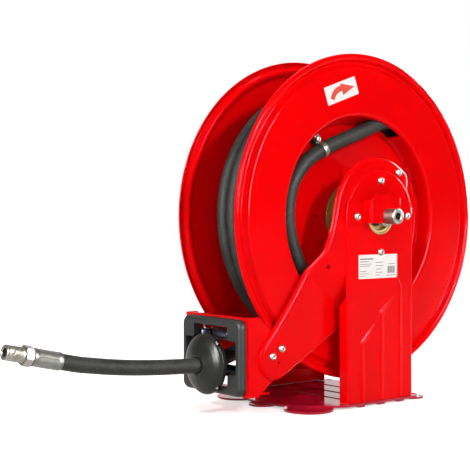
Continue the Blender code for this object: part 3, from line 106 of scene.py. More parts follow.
def grid(points, close_rows=False, close_columns=True, caps=False, lengths=None):
    """The faces of a grid of points, each from corners (row, column) to (row + 1, column + 1).

    A closed direction wraps round. The map's u is the column's share and v is lengths, one for
    each row. Caps fill the first and the last row with one face each.
    """
    rows, columns = points.shape[:2]
    r = np.arange(rows if close_rows else rows - 1)[:, None, None]
    c = np.arange(columns if close_columns else columns - 1)[None, :, None]
    down = r + np.array([0, 0, 1, 1])
    over = c + np.array([0, 1, 1, 0])
    faces = ((down % rows) * columns + over % columns).reshape(-1, 4)
    v = np.arange(rows + 1.0) if lengths is None else np.append(lengths, lengths[-1])
    uv = np.stack([over / columns + 0.0 * down, v[down] + 0.0 * over], -1).reshape(-1, 2)
    faces = faces.tolist()
    if caps:
        faces += [list(range(columns)), list(range((rows - 1) * columns, rows * columns))]
        uv = np.vstack([uv, np.zeros((2 * columns, 2))])
    return points.reshape(-1, 3), faces, uv


# %% [markdown]
# ## From shapes to pieces
#
# A piece may hold several grids. They are joined, moved from the axle frame into the world and
# written into one mesh. Welding closes its poles and seams, and edges sharper than an angle are
# kept hard. The piece is then put on its body, with its finish, in place of a plain solid.

# %% Meshes and pieces
FINISHES = {}                   # every material, by its name


def join(shapes):
    """Points, faces and map of several shapes as one."""
    starts = np.cumsum([0] + [len(points) for points, _, _ in shapes])
    points = np.vstack([points for points, _, _ in shapes])
    faces = [[i + int(start) for i in face]
             for (_, some, _), start in zip(shapes, starts) for face in some]
    return points, faces, np.vstack([uv for _, _, uv in shapes])


def make_mesh(name, shapes, sharp=35.0):
    """A mesh at its place in the world, welded, facing outwards, with edges over `sharp` kept."""
    points, faces, uv = join(shapes)
    mesh = bpy.data.meshes.new(name)
    mesh.from_pydata(in_world(points).tolist(), [], faces)
    mesh.uv_layers.new(name="run").uv.foreach_set("vector", uv.ravel())
    bm = bmesh.new()
    bm.from_mesh(mesh)
    bmesh.ops.remove_doubles(bm, verts=bm.verts, dist=2e-6)
    bmesh.ops.recalc_face_normals(bm, faces=bm.faces)
    bm.to_mesh(mesh)
    bm.free()
    mesh.shade_smooth()
    mesh.set_sharp_from_angle(angle=radians(sharp))
    return mesh


def settle(mesh, node=None, body=None, slot=None, finish=None):
    """Make a piece of a mesh: its body, its material slot, and the node that it stands for."""
    body = body or BODY_OF[node]
    slot = slot or SLOT_OF[node]
    made = linked(mesh.name, mesh)
    mesh.materials.clear()
    mesh.materials.append(FINISHES[finish or slot])
    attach(made, body)
    if node:
        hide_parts(node)
    return made


def piece(name, shapes, node=None, body=None, slot=None, finish=None, sharp=35.0, cuts=()):
    """A mesh from shapes, less its cuts, settled on its body."""
    mesh = make_mesh(name, shapes, sharp)
    if cuts:
        mesh = carve(mesh, cuts, sharp=sharp)
    return settle(mesh, node, body, slot, finish)


# %% [markdown]
# ## Profiles
#
# Most metal pieces are drawn as a profile of a few corners. Sharp corners look false in a close
# view, so a profile's corners are first rounded: each one gives way to a short quadratic curve
# between points on its two sides. Rods and rings are so common that they have their own names.

# %% Profiles with soft corners


def rounded(profile, radius, steps=3, closed=True):
    """The profile with each corner p as (1-t)^2 a + 2t(1-t) p + t^2 b, a and b `radius` from it."""
    p = np.asarray(profile, float)
    before, after = np.roll(p, 1, 0) - p, np.roll(p, -1, 0) - p
    near = np.linalg.norm(before, axis=1, keepdims=True) + 1e-9
    far = np.linalg.norm(after, axis=1, keepdims=True) + 1e-9
    cut = np.minimum(radius, 0.45 * np.minimum(near, far))
    if not closed:
        cut[[0, -1]] = 0.0
    t = np.linspace(0.0, 1.0, steps + 1)[None, :, None]
    a, b = (p + before / near * cut)[:, None], (p + after / far * cut)[:, None]
    curve = (1 - t) ** 2 * a + 2 * t * (1 - t) * p[:, None] + t ** 2 * b
    if closed:
        return curve.reshape(-1, 2)
    return np.vstack([p[:1], curve[1:-1].reshape(-1, 2), p[-1:]])


def rod(low, high, radius):
    """The profile of a solid rod."""
    return [(low, 0.0), (low, radius), (high, radius), (high, 0.0)]


def ring(low, high, inner, outer):
    """The profile of a plain ring."""
    return [(low, inner), (low, outer), (high, outer), (high, inner)]


def circle(a):
    """Points (cos a, sin a)."""
    return np.stack([np.cos(a), np.sin(a)], -1)


def spans(path):
    """The distance from each point of a path to the next."""
    return np.linalg.norm(np.diff(path, axis=0), axis=1)


def walked(path):
    """How far along a path each of its points lies, in metres."""
    return np.append(0.0, np.cumsum(spans(path))) * MM


def unit(vectors):
    """Vectors of length 1 that point the same way."""
    return vectors / np.linalg.norm(vectors, axis=-1, keepdims=True)


# %% [markdown]
# ## Turned pieces and tubes
#
# A turned piece is a profile carried round a line, as on a lathe, and a hose is a circle carried
# along a path. Blender's Screw modifier and a bevelled curve could make both. Here they are
# sums on arrays, so that a radius may also depend on the angle, as a hexagon's does.

# %% Turned pieces and tubes


def across(axis):
    """Two unit vectors square to an axis and to each other, +X and +Z for the axis +Y."""
    turned_round = Vector((0.0, 1.0, 0.0)).rotation_difference(Vector(axis)).to_matrix()
    return np.array(turned_round @ Vector((1, 0, 0))), np.array(turned_round @ Vector((0, 0, 1)))


def turned(profile, around=64, centre=(0.0, 0.0, 0.0), axis=(0.0, 1.0, 0.0), hole=True, shape=None):
    """Point (along, r) at angle a: centre + along axis + r (cos a side + sin a up).

    shape(along, r, a) may change r over the surface. With hole the profile is a closed ring,
    and without it the profile starts and ends on the axis.
    """
    profile = np.asarray(profile, float)
    a = 2 * pi * np.arange(around)[None, :] / around
    along, r = profile[:, :1] + 0.0 * a, profile[:, 1:] + 0.0 * a
    if shape:
        r = shape(along, r, a)
    side, up = across(axis)
    points = (np.asarray(centre, float) + along[..., None] * np.asarray(axis, float)
              + (r * np.cos(a))[..., None] * side + (r * np.sin(a))[..., None] * up)
    return grid(points, close_rows=hole, lengths=walked(profile))


def tube(path, radius, around=24):
    """Ring k: path point + radius (cos a side + sin a up), side square to the path and the axle."""
    path = np.asarray(path, float)
    ahead = unit(np.gradient(path, axis=0))
    side = unit(np.cross(ahead, (0.0, 1.0, 0.0)))
    up = np.cross(side, ahead)
    a = 2 * pi * np.arange(around) / around
    rings = np.cos(a)[None, :, None] * side[:, None] + np.sin(a)[None, :, None] * up[:, None]
    return grid(path[:, None] + radius * rings, caps=True, lengths=walked(path))


def plug(low, high, radius, around, centre=(0.0, 0.0, 0.0), axis=(0.0, 1.0, 0.0)):
    """A closed rod from low to high along its axis, to cut a hole with."""
    return turned(rod(low, high, radius), around, centre, axis, hole=False)


def six_sides(corner, a):
    """Reach of a hexagon in direction a: corner cos 30 / cos((a mod 60) - 30)."""
    return corner * cos(pi / 6) / np.cos(np.mod(a, pi / 3) - pi / 6)


def hexagon(corner):
    """A shape for turned pieces: the radius, cut down to a hexagon."""
    return lambda along, r, a: np.minimum(r, six_sides(corner, a))


# %% [markdown]
# ## Shader maths in Python
#
# A finish is a graph of shader nodes. In the node editor a sum takes a Math node and two links
# for each sign. Here a socket's output is wrapped as a wire that knows plus, minus, times and
# divided by, so that a sum is written as plain Python and its nodes are added by themselves.

# %% Sockets with arithmetic


class Wire:
    """A socket's output that can be added, subtracted, multiplied and divided."""

    def __init__(self, finish, socket):
        self.finish, self.socket = finish, socket

    def maths(self, operation, first, second=0.0):
        made = self.finish.node("Math", {"operation": operation}, {0: first, 1: second})
        return made.out()

    def above(self, level):
        return self.maths("GREATER_THAN", self, level)

    def sine(self):
        return self.maths("SINE", self)

    def most(self, other):
        return self.maths("MAXIMUM", self, other)


for word, operation in (("add", "ADD"), ("sub", "SUBTRACT"), ("mul", "MULTIPLY"),
                        ("truediv", "DIVIDE")):
    setattr(Wire, f"__{word}__", lambda a, b, sign=operation: a.maths(sign, a, b))
    setattr(Wire, f"__r{word}__", lambda a, b, sign=operation: a.maths(sign, b, a))


class Made:
    """A node that was added, and its outputs as wires."""

    def __init__(self, finish, node):
        self.finish, self.node = finish, node

    def out(self, which=0):
        return Wire(self.finish, self.node.outputs[which])


# %% [markdown]
# ## One recipe book for finishes
#
# Every other node is added by one method that takes its type, its settings and the values or
# links of its sockets. The nodes that nearly every finish needs, such as a noise, a mix and a
# bump, have short methods of their own, and the last one ends the finish in its shader.

# %% Finishes as node graphs


class Finish:
    """A material whose nodes are added one call each, ending in a Principled shader."""

    def __init__(self, name):
        self.material = bpy.data.materials.new(name)
        self.material.use_nodes = True
        self.tree = self.material.node_tree
        self.tree.nodes.clear()
        FINISHES[name] = self.material

    def node(self, kind, settings=None, values=None):
        made = self.tree.nodes.new("ShaderNode" + kind)
        for key, value in (settings or {}).items():
            if key == "stops":
                ramp = made.color_ramp.elements
                for _ in range(len(value) - 2):
                    ramp.new(0.5)
                for stop, (place, colour) in zip(ramp, value):
                    stop.position, stop.color = place, (*colour, 1.0)
            else:
                setattr(made, key, value)
        for key, value in (values or {}).items():
            socket = made.inputs[key]
            if isinstance(value, Wire):
                self.tree.links.new(value.socket, socket)
            elif isinstance(value, tuple) and len(value) == 3 and socket.type == "RGBA":
                socket.default_value = (*value, 1.0)
            else:
                socket.default_value = value
        return Made(self, made)

    def place(self):
        """The surface's place in the object, in metres."""
        return self.node("TexCoord").out("Object")

    def stretched(self, scale, where=None):
        return self.node("Mapping", None, {"Vector": where or self.place(), "Scale": scale}).out()

    def noise(self, scale, detail=3.0, where=None, roughness=0.5):
        return self.node("TexNoise", None, {"Vector": where or self.place(), "Scale": scale,
                                            "Detail": detail, "Roughness": roughness}).out("Fac")

    def spread(self, value, low, high, to_low=0.0, to_high=1.0):
        """value from low..high to to_low..to_high, and clamped there."""
        return self.node("MapRange", {"clamp": True}, {
            "Value": value, "From Min": low, "From Max": high, "To Min": to_low,
            "To Max": to_high}).out()

    def mix(self, share, a, b, blend="MIX"):
        made = self.node("Mix", {"data_type": "RGBA", "blend_type": blend})
        for index, value in ((0, share), (6, a), (7, b)):
            socket = made.node.inputs[index]
            if isinstance(value, Wire):
                self.tree.links.new(value.socket, socket)
            else:
                socket.default_value = (*value, 1.0) if isinstance(value, tuple) else value
        return Wire(self, made.node.outputs[2])

    def bump(self, height, strength, distance):
        return self.node("Bump", None, {"Height": height, "Strength": strength,
                                        "Distance": distance}).out()

    def surface(self, **values):
        words = {key.replace("_", " ").title().replace("Ior", "IOR"): value
                 for key, value in values.items()}
        shader = self.node("BsdfPrincipled", None, words)
        self.node("OutputMaterial", None, {"Surface": shader.out()})


# %% [markdown]
# ## Red enamel
#
# The sheet metal is powder coated: a deep red with a wet gloss, very slightly rippled like
# orange peel, and with a breath of dust where it lies flat. A plain red with a fixed gloss
# would look like plastic. A fine noise drives the ripple, and a broad one varies the gloss.
# The white studio would wash the red out, so what it mirrors is kept faint and reddish.

# %% Red enamel
RED_DEEP, RED_FULL = (0.72, 0.0003, 0.0012), (0.82, 0.0004, 0.0014)
RED_DUSTY = (0.78, 0.004, 0.006)

red = Finish("red_enamel")
cloud = red.noise(9.0, 4.0)
tone = red.mix(red.spread(cloud, 0.35, 0.65), RED_DEEP, RED_FULL)
up_facing = red.node("SeparateXYZ", None, {0: red.node("NewGeometry").out("Normal")}).out("Z")
dust = red.spread(up_facing, 0.55, 1.0) * red.spread(red.noise(60.0, 5.0), 0.45, 0.75) * 0.35
speck = red.noise(420.0, 2.0).above(0.71) * 0.25
tone = red.mix(dust + speck, tone, RED_DUSTY)
gloss = red.spread(red.noise(35.0, 3.0), 0.3, 0.7, 0.07, 0.12) + dust * 0.3
peel = red.noise(520.0, 1.5)
red.surface(base_color=tone, roughness=gloss, normal=red.bump(peel, 0.035, 0.0006),
            specular_ior_level=0.045, specular_tint=(1.0, 0.60, 0.76))
print("red enamel:", len(red.tree.nodes), "nodes")

# %% [markdown]
# ## Wet enamel, darkened as painted shade
#
# The base plate looks darker than the rest and mirrors the studio. It gets a stronger, smoother
# gloss, and a deeper crimson, which is painted shade for the shadow that lies on it under the drum.

# %% Wet enamel
wet = Finish("shaded_wet_enamel")
pool = wet.noise(7.0, 3.0)
# Painted shade: the base plate's red is a darker copy of the sheets' red.
shaded_crimson = wet.mix(wet.spread(pool, 0.35, 0.65), (0.34, 0.004, 0.020), (0.48, 0.006, 0.030))
wet.surface(base_color=shaded_crimson, roughness=wet.spread(wet.noise(28.0, 3.0), 0.3, 0.7, 0.05, 0.11),
            normal=wet.bump(wet.noise(160.0, 2.0), 0.05, 0.0006), specular_ior_level=0.40,
            specular_tint=(1.0, 0.7, 0.75))
print("wet enamel:", len(wet.tree.nodes), "nodes")

# %% [markdown]
# ## Hose rubber
#
# The hose is wrapped in cloth while it is cured, which leaves a fine woven print and a narrow
# overlap line that winds round it. The print has to run along the hose, so it reads the
# tube's own map: u goes once round, v is the length in metres.

# %% Hose rubber
WEAVE_PITCH = 0.0016
WRAP_PITCH = 0.046

hose_black = Finish("black_rubber")
run = hose_black.node("SeparateXYZ", None, {0: hose_black.node("UVMap", {"uv_map": "run"}).out()})
u, v = run.out("X"), run.out("Y")
warp = (u * (2 * pi * 42.0)).sine()
weft = (v * (2 * pi / WEAVE_PITCH)).sine()
cloth = warp * weft * 0.5 + 0.5
turns = hose_black.node("Math", {"operation": "FRACT"}, {0: v / WRAP_PITCH + u}).out()
overlap = hose_black.spread(turns, 0.0, 0.05, 1.0, 0.0)
patchy = hose_black.noise(38.0, 4.0)
chalk = hose_black.noise(300.0, 3.0)
grey = hose_black.mix(hose_black.spread(patchy, 0.3, 0.7), (0.016, 0.017, 0.015),
                      (0.030, 0.031, 0.028))
grey = hose_black.mix(hose_black.spread(chalk, 0.5, 0.8) * 0.5 + overlap * 0.3, grey,
                      (0.070, 0.073, 0.068))
height = cloth * 0.6 + overlap * 1.6 + chalk * 0.5
hose_black.surface(base_color=grey, roughness=hose_black.spread(patchy, 0.3, 0.7, 0.5, 0.66),
                   normal=hose_black.bump(height, 0.35, 0.0004), specular_ior_level=0.12)
print("hose rubber:", len(hose_black.tree.nodes), "nodes")

# %% [markdown]
# ## Moulded rubber and plastic
#
# The stopper is solid rubber with a soft sheen and a grey bloom. The guide's frame is a
# nylon moulding with a fine spark-eroded grain. Both read the object's coordinates, because a
# moulding's grain doesn't follow the shape.

# %% Moulded black finishes


def moulded(name, dark, light, grain, rough, depth):
    """A black moulding: two greys by a broad noise, and a fine grain in the gloss and the bump."""
    black = Finish(name)
    broad = black.noise(14.0, 4.0)
    fine = black.noise(grain, 2.0)
    rubbed = black.spread(black.noise(90.0, 6.0, roughness=0.7), 0.62, 0.8) * 0.35
    colour = black.mix(black.spread(broad, 0.3, 0.7) * 0.8 + rubbed, dark, light)
    gloss = black.spread(broad, 0.3, 0.7, rough - 0.05, rough + 0.06) + fine * 0.06
    black.surface(base_color=colour, roughness=gloss, normal=black.bump(fine, 0.3, depth),
                  specular_ior_level=0.13)


moulded("stopper_rubber", (0.012, 0.013, 0.011), (0.026, 0.027, 0.022), 700.0, 0.30, 0.00012)
moulded("black_plastic", (0.024, 0.025, 0.024), (0.040, 0.041, 0.040), 1400.0, 0.40, 0.00010)
print("moulded finishes made")

# %% [markdown]
# ## Plated and bare metal
#
# Zinc plate is silver with a faint bloom, yellow zinc shifts from gold to green, and turned
# pieces keep a fine lay from the lathe. One recipe serves all of them: a base metal, a second
# tint that a noise lets through, and fine stretched scratches in the gloss.

# %% Metals


def metal(name, base, tint, patch, rough, scratch=(900.0, 900.0, 60.0)):
    """A metal with a tint in patches and scratches that vary its gloss."""
    plate = Finish(name)
    bloom = plate.spread(plate.noise(patch, 5.0, roughness=0.6), 0.42, 0.68)
    lay = plate.noise(1.0, 3.0, where=plate.stretched(scratch))
    spots = plate.noise(320.0, 3.0).above(0.68) * 0.5
    colour = plate.mix(bloom, base, tint)
    colour = plate.mix(spots, colour, tuple(0.45 * c for c in base))
    gloss = plate.spread(lay, 0.3, 0.7, rough - 0.07, rough + 0.10) + bloom * 0.06
    plate.surface(base_color=colour, roughness=gloss, metallic=1.0,
                  normal=plate.bump(lay, 0.10, 0.00008))


metal("zinc_plate", (0.26, 0.24, 0.21), (0.17, 0.155, 0.13), 70.0, 0.30)
metal("yellow_zinc", (0.46, 0.33, 0.12), (0.34, 0.30, 0.16), 45.0, 0.30)
metal("plain_steel", (0.42, 0.42, 0.43), (0.30, 0.29, 0.28), 55.0, 0.34)
metal("brass", (0.70, 0.54, 0.27), (0.52, 0.38, 0.18), 60.0, 0.30)
metal("spring_steel", (0.09, 0.095, 0.11), (0.05, 0.05, 0.065), 40.0, 0.32)
metal("crimped_sleeve", (0.15, 0.15, 0.138), (0.09, 0.09, 0.082), 120.0, 0.38, (70.0, 900.0, 900.0))
print(len(FINISHES), "finishes")

# %% [markdown]
# ## The free hose
#
# The hose leaves the drum at its lowest point, runs between the rollers and through the
# stopper, sags a little and ends in its fitting. A hose keeps its length, so it is one circle
# carried along one smooth curve through the points of its route. The curve is a Catmull-Rom
# spline: between two points it leans on their neighbours, and passes through both.

# %% Route and curve of the free hose
HOSE_RADIUS = 11.0
GAP = 0.3                       # clear space between pieces that sit together
TAIL_ROUTE = ((-150.0, 26.0, -198.5), (-190.0, 9.0, -203.0), (-220.0, 2.0, -208.8),
              (-244.0, 0.0, -213.2), (-258.0, 0.0, -213.95), (-272.0, 0.0, -214.4),
              (-300.0, 0.0, -213.6), (-350.0, 0.0, -210.7), (-400.0, 0.0, -206.0),
              (-450.0, 0.0, -199.0))
TAIL_END, TAIL_HEADING = (-492.0, 0.0, -190.3), 167.0


def catmull(points, per_span):
    """(2b + (c-a)t + (2a-5b+4c-d)t^2 + (3b-a-3c+d)t^3) / 2 between b and c of a, b, c, d."""
    p = np.asarray(points, float)
    p = np.vstack([2 * p[0] - p[1], p, 2 * p[-1] - p[-2]])
    a, b, c, d = (p[k:len(p) - 3 + k, None] for k in range(4))
    t = (np.arange(per_span) / per_span)[None, :, None]
    curve = (2 * b + (c - a) * t + (2 * a - 5 * b + 4 * c - d) * t ** 2
             + (3 * b - a - 3 * c + d) * t ** 3) / 2
    return np.vstack([curve.reshape(-1, 3), p[-2:-1]])


def straight(point, heading):
    """Three points along a straight run at a hose's end."""
    return [np.asarray(point) + np.asarray(heading) * HOSE_RADIUS * k for k in range(3)]


def in_plane(angle):
    """The unit vector at an angle in degrees, in the plane square to the axle."""
    return np.array([cos(radians(angle)), 0.0, sin(radians(angle))])


# %% [markdown]
# ## The path of the wound hose
#
# On the drum the hose comes out of a slot in the front dish, bends onto the outer layer, winds
# across to the far side and leaves at the bottom. Each of these is a line, a circle or a helix,
# so the path needs no list of points: only where the slot is, and where the hose leaves.

# %% Path of the wound hose
RUN_Y = -52.4                   # plane of the hose in the front dish
SLOT_POINT, SLOT_HEADING = (52.0, 0.0, 146.0), 20.4     # a point in the slot, and degrees
WIND_RADIUS, WIND_PITCH, WIND_STEPS = 192.6, 23.0, 150  # steps in one turn
WIND_EXIT_Y, WIND_EXIT_ANGLE, WIND_FULL_TURNS = 47.0, -88.2, 4
MERGE_RADIUS, MERGE_LIMIT, EXIT_STUB = 95.0, -60.0, 96.0


def merge_centre():
    """Centre of the bend from the slot onto the outer layer, its start and its heading.

    A circle of MERGE_RADIUS that starts along a line through the slot, slid along the line
    until it touches the outer layer from inside.
    """
    along = in_plane(SLOT_HEADING)
    inward = np.array([along[2], 0.0, -along[0]])
    base = np.array(SLOT_POINT) + inward * MERGE_RADIUS
    b, c = base @ along, base @ base - (WIND_RADIUS - MERGE_RADIUS) ** 2
    root = sqrt(b * b - c)
    centre = base + along * (-b - root if -b - root > MERGE_LIMIT else -b + root)
    return centre, centre - inward * MERGE_RADIUS, along


def winding_path():
    """Slot, bend, helix of falling angle and straight exit of the hose that turns with the drum."""
    centre, start, along = merge_centre()
    first = degrees(atan2(centre[2], centre[0]))
    turns = (first - WIND_EXIT_ANGLE) / 360.0 + WIND_FULL_TURNS
    first_y = WIND_EXIT_Y - WIND_PITCH * turns
    lead = start - along * np.linspace(2 * HOSE_RADIUS, 1.0, 8)[:, None]
    lead[:, 1] = RUN_Y
    share = np.linspace(0.0, 1.0, 40)
    a = radians(SLOT_HEADING) + pi / 2
    a = a + (radians(first) - radians(SLOT_HEADING) - pi / 2) * share
    ease = share ** 2 * (3 - 2 * share)
    bend = np.stack([centre[0] + MERGE_RADIUS * np.cos(a), RUN_Y + (first_y - RUN_Y) * ease,
                     centre[2] + MERGE_RADIUS * np.sin(a)], -1)
    t = np.linspace(0.0, 1.0, ceil(turns * WIND_STEPS) + 1)[1:]
    a = radians(first) - 2 * pi * turns * t
    coil = np.stack([WIND_RADIUS * np.cos(a), first_y + WIND_PITCH * turns * t,
                     WIND_RADIUS * np.sin(a)], -1)
    onward = np.array([sin(radians(WIND_EXIT_ANGLE)), 0.0, -cos(radians(WIND_EXIT_ANGLE))])
    stub = coil[-1] + onward * np.linspace(8.0, EXIT_STUB, 12)[:, None]
    return np.vstack([lead, bend, coil, stub]), onward


winding, winding_exit = winding_path()
tail_heading = in_plane(TAIL_HEADING)
tail = catmull([*straight(winding[-1] + winding_exit * GAP, winding_exit), *TAIL_ROUTE,
                *straight(TAIL_END, -tail_heading)[::-1]], 14)

# %% [markdown]
# ## Crimped end of the hose
#
# A plated sleeve is squeezed onto the hose by eight jaws, which leaves flats along it. In
# front of it sit a hexagon and a half-inch pipe thread. The sleeve and the thread are turned
# profiles whose radius also depends on the angle: eight soft flats, and a helical ridge.

# %% Sleeve, hexagon and thread
SLEEVE_LENGTH, COLLAR_LENGTH, THREAD_LENGTH = 44.0, 12.0, 27.0
THREAD_PITCH = 1.814


def crimp(low, high, depth=0.55):
    """Radius less depth sqrt |cos 4a| where low < along < high: eight flats from the jaws."""
    def shape(along, r, a):
        inside = np.clip((along - low) / 2.0, 0, 1) * np.clip((high - along) / 2.0, 0, 1)
        return np.where(r > 9.5, r - depth * inside * np.abs(np.cos(4 * a)) ** 0.5, r)
    return shape


def thread(low, high, crest, depth=0.9):
    """Radius less depth times a triangle wave of along / pitch + a / 2 pi, between low and high."""
    def shape(along, r, a):
        wave = np.abs(2 * np.mod(along / THREAD_PITCH + a / (2 * pi), 1.0) - 1.0)
        ends = np.clip((along - low) / 1.2, 0, 1) * np.clip((high - along) / 1.2, 0, 1)
        return np.where(r > crest - 0.2, r - depth * wave * ends, r)
    return shape


def filled(profile, step=1.0):
    """The profile with points added so that none of its sides is longer than step."""
    p = np.asarray(profile, float)
    parts = [np.linspace(a, b, max(1, ceil(np.linalg.norm(b - a) / step)), endpoint=False)
             for a, b in zip(p, p[1:])]
    return np.vstack([*parts, p[-1:]])


sleeve_start = tail[-1] + tail_heading * GAP
sleeve_profile = rounded([(0.0, 0.0), (0.0, 12.3), (SLEEVE_LENGTH, 12.3), (SLEEVE_LENGTH, 0.0)],
                         1.4, 4, closed=False)
sleeve = piece("hose_end_sleeve", [turned(filled(sleeve_profile), 96, sleeve_start, tail_heading,
                                          hole=False, shape=crimp(5.0, SLEEVE_LENGTH - 5.0))],
               "hose_ferrule", finish="crimped_sleeve")

fitting_start = tail[-1] + tail_heading * (SLEEVE_LENGTH + 2 * GAP)
fitting_end = COLLAR_LENGTH + THREAD_LENGTH
stem = filled(rounded([(0.0, 0.0), (0.0, 10.4), (fitting_end, 10.4), (fitting_end, 6.0),
                       (6.0, 6.0), (6.0, 0.0)], 0.9, 3, closed=False), 0.35)
collar = rounded(ring(1.0, COLLAR_LENGTH, 7.5, 14.4), 1.2, 3)
fitting = piece("hose_end_thread", [
    turned(stem, 72, fitting_start, tail_heading, hole=False,
           shape=thread(COLLAR_LENGTH + 2.0, fitting_end - 1.0, 10.4)),
    turned(filled(collar, 2.0), 72, fitting_start, tail_heading, shape=hexagon(14.5))],
    "hose_fitting")
print("sleeve and fitting made")

# %% [markdown]
# ## Stopper
#
# Two rubber halves are screwed together round the hose, so that the guide stops it. The stopper
# is a thick puck: a band, a shoulder and a shallow dome towards the fitting. Each half is that
# profile carried through half a turn. The screws sit in pockets, which an exact Boolean cuts.

# %% Stopper profile
STOPPER_BACK, STOPPER_SPLIT = -244.5, 0.3
STOPPER_PROFILE = ((0.0, 36.0), (1.5, 43.5), (5.0, 44.3), (8.5, 44.5), (11.5, 42.5), (14.0, 39.5),
                   (17.5, 33.0), (20.0, 26.0), (22.0, 19.5), (23.5, 15.5))
STOPPER_SCREW, STOPPER_POCKET = (6.0, 31.5), (5.0, 24.0)


def stopper_height(along):
    """Height of the hose's centre line inside the stopper."""
    (x0, _, z0), (x1, _, z1) = TAIL_ROUTE[3], TAIL_ROUTE[5]
    return z0 + (z1 - z0) * (STOPPER_BACK - along - x0) / (x1 - x0)


def stopper_section():
    """The profile with a fine step at the shoulder and rounded corners, down to the bore."""
    outer = [*STOPPER_PROFILE[:4], (9.3, 43.6), (10.0, 43.2), *STOPPER_PROFILE[4:]]
    bore = HOSE_RADIUS + 0.6
    return rounded([*outer, (STOPPER_PROFILE[-1][0], bore), (0.0, bore)], 1.6, 4)


def stopper_half(side):
    """(x, y, z) = (back - along, side (split + r sin a), height(along) + r cos a), 0 <= a <= pi."""
    section = stopper_section()
    along, r = section[None, :, 0], section[None, :, 1]
    a = np.linspace(0.0, pi, 73)[:, None]
    points = np.stack([STOPPER_BACK - along + 0 * a, side * (STOPPER_SPLIT + r * np.sin(a)),
                       stopper_height(along) + r * np.cos(a)], -1)
    return grid(points, caps=True, lengths=np.arange(73) * 0.002)


# %% [markdown]
# ## Booleans and bevels
#
# A hole is cut by an exact Boolean of a closed mesh and a closed cutter. The result is read
# back as a plain mesh, so that no helper object stays in the scene. Bevels stay live, because
# they only soften edges.

# %% Boolean and bevel helpers


def baked(mesh, kind, settings, sharp=35.0, tool=None):
    """The mesh after one modifier, as a new mesh."""
    body = linked("work", mesh)
    modifier = body.modifiers.new("work", kind)
    for key, value in settings.items():
        setattr(modifier, key, value)
    if tool:
        modifier.object = tool
    graph = bpy.context.evaluated_depsgraph_get()
    result = bpy.data.meshes.new_from_object(body.evaluated_get(graph), depsgraph=graph)
    bpy.data.objects.remove(body, do_unlink=True)
    result.name = mesh.name.split(".")[0]
    result.shade_smooth()
    result.set_sharp_from_angle(angle=radians(sharp))
    return result


def carve(mesh, shapes, operation="DIFFERENCE", sharp=35.0):
    """The mesh less closed shapes, or joined with them, by an exact Boolean."""
    tool = linked("cutter", make_mesh("cutter", shapes))
    result = baked(mesh, "BOOLEAN", {"operation": operation, "solver": "EXACT"}, sharp, tool)
    bpy.data.objects.remove(tool, do_unlink=True)
    return result


def soften(made, width, segments=2, angle=32.0):
    """A live bevel on the edges sharper than angle."""
    bevel = made.modifiers.new("soft edges", "BEVEL")
    bevel.width, bevel.segments, bevel.harden_normals = width * MM, segments, True
    bevel.limit_method, bevel.angle_limit = "ANGLE", radians(angle)
    return made


# %% [markdown]
# ## Button screws
#
# All small screws have a domed head with a hexagon socket. One profile gives head, socket and
# shaft, turned round the screw's axis, and the socket's wall is bent into six sides.

# %% Screws with hexagon sockets


def button_profile(radius, height, socket, shaft, length):
    """Dome head with a flat top and a socket, over a shaft, from the tip to the socket's floor."""
    flat_from = radians(78.0)
    a = np.radians(np.linspace(0.0, 78.0, 7))
    dome = np.stack([height * np.sin(a) / sin(flat_from), radius - (radius - 1.5 * socket)
                     * (1 - np.cos(a)) / (1 - cos(flat_from))], -1)
    return np.vstack([[(-length, 0.0), (-length, shaft), (0.0, shaft), (0.0, radius - 0.3)], dome,
                      [(height, socket * 1.12), (height - 0.2, socket), (height - 2.2, socket),
                       (height - 2.4, 0.0)]])


def hex_socket(socket):
    """A radius near the socket's becomes a hexagon, so that the key's hole has six sides."""
    return lambda along, r, a: np.where(np.abs(r - socket) < 0.01, six_sides(socket, a), r)


def button(spot, axis, radius, height, socket, shaft, length):
    """One button screw whose head stands on spot."""
    return turned(button_profile(radius, height, socket, shaft, length), 36, spot, axis,
                  hole=False, shape=hex_socket(socket))


# %% [markdown]
# ## The two halves of the stopper
#
# The front half is the one whose pockets are seen, so it is cut. Both screws stand at the
# bottom of their pockets, on the line where the halves meet.

# %% Stopper halves and screws
screw_along, screw_offset = STOPPER_SCREW
pocket_radius, pocket_floor = STOPPER_POCKET
screw_spots = {word: (STOPPER_BACK - screw_along, 0.0,
                      stopper_height(screw_along) + sign * screw_offset)
               for word, sign in (("upper", 1.0), ("lower", -1.0))}
pockets = [plug(-60.0, -pocket_floor, pocket_radius, 40, spot) for spot in screw_spots.values()]
for word, side, cuts in (("front", -1.0, pockets), ("rear", 1.0, ())):
    piece(f"stopper_{word}_form", [stopper_half(side)], f"stopper_{word}_half",
          finish="stopper_rubber", sharp=50.0, cuts=cuts)
for word, (x, _, z) in screw_spots.items():
    piece("stopper_screw_" + word + "_head",
          [button((x, -pocket_floor, z), (0.0, -1.0, 0.0), 3.6, 2.8, 1.6, 2.4, 3.0)],
          "stopper_screw_" + word)
print("stopper made")

# %% [markdown]
# ## The free hose
#
# The free hose is the one part that bends in use. It is a tube of the hose's thickness, along
# the curve from where it leaves the drum to the fitting that it ends in.

# %% Free hose
hose_shape = tube(tail, HOSE_RADIUS, 40)
free_hose = piece("free_hose", [hose_shape], "hose_tail")

# %% [markdown]
# ## The wound hose
#
# The outer layer is one unbroken tube: out of the slot in the front dish, round a bend onto the
# drum, four and a third times round, 23 mm on with each turn, and straight off. The inner layer
# under it is a plain helix. Both are circles carried along paths, as the free hose is.

# %% Outer and inner layers
LAYER_RADIUS, LAYER_FROM, LAYER_TO, LAYER_TURNS = 168.3, -26.7, 52.7, 3.56

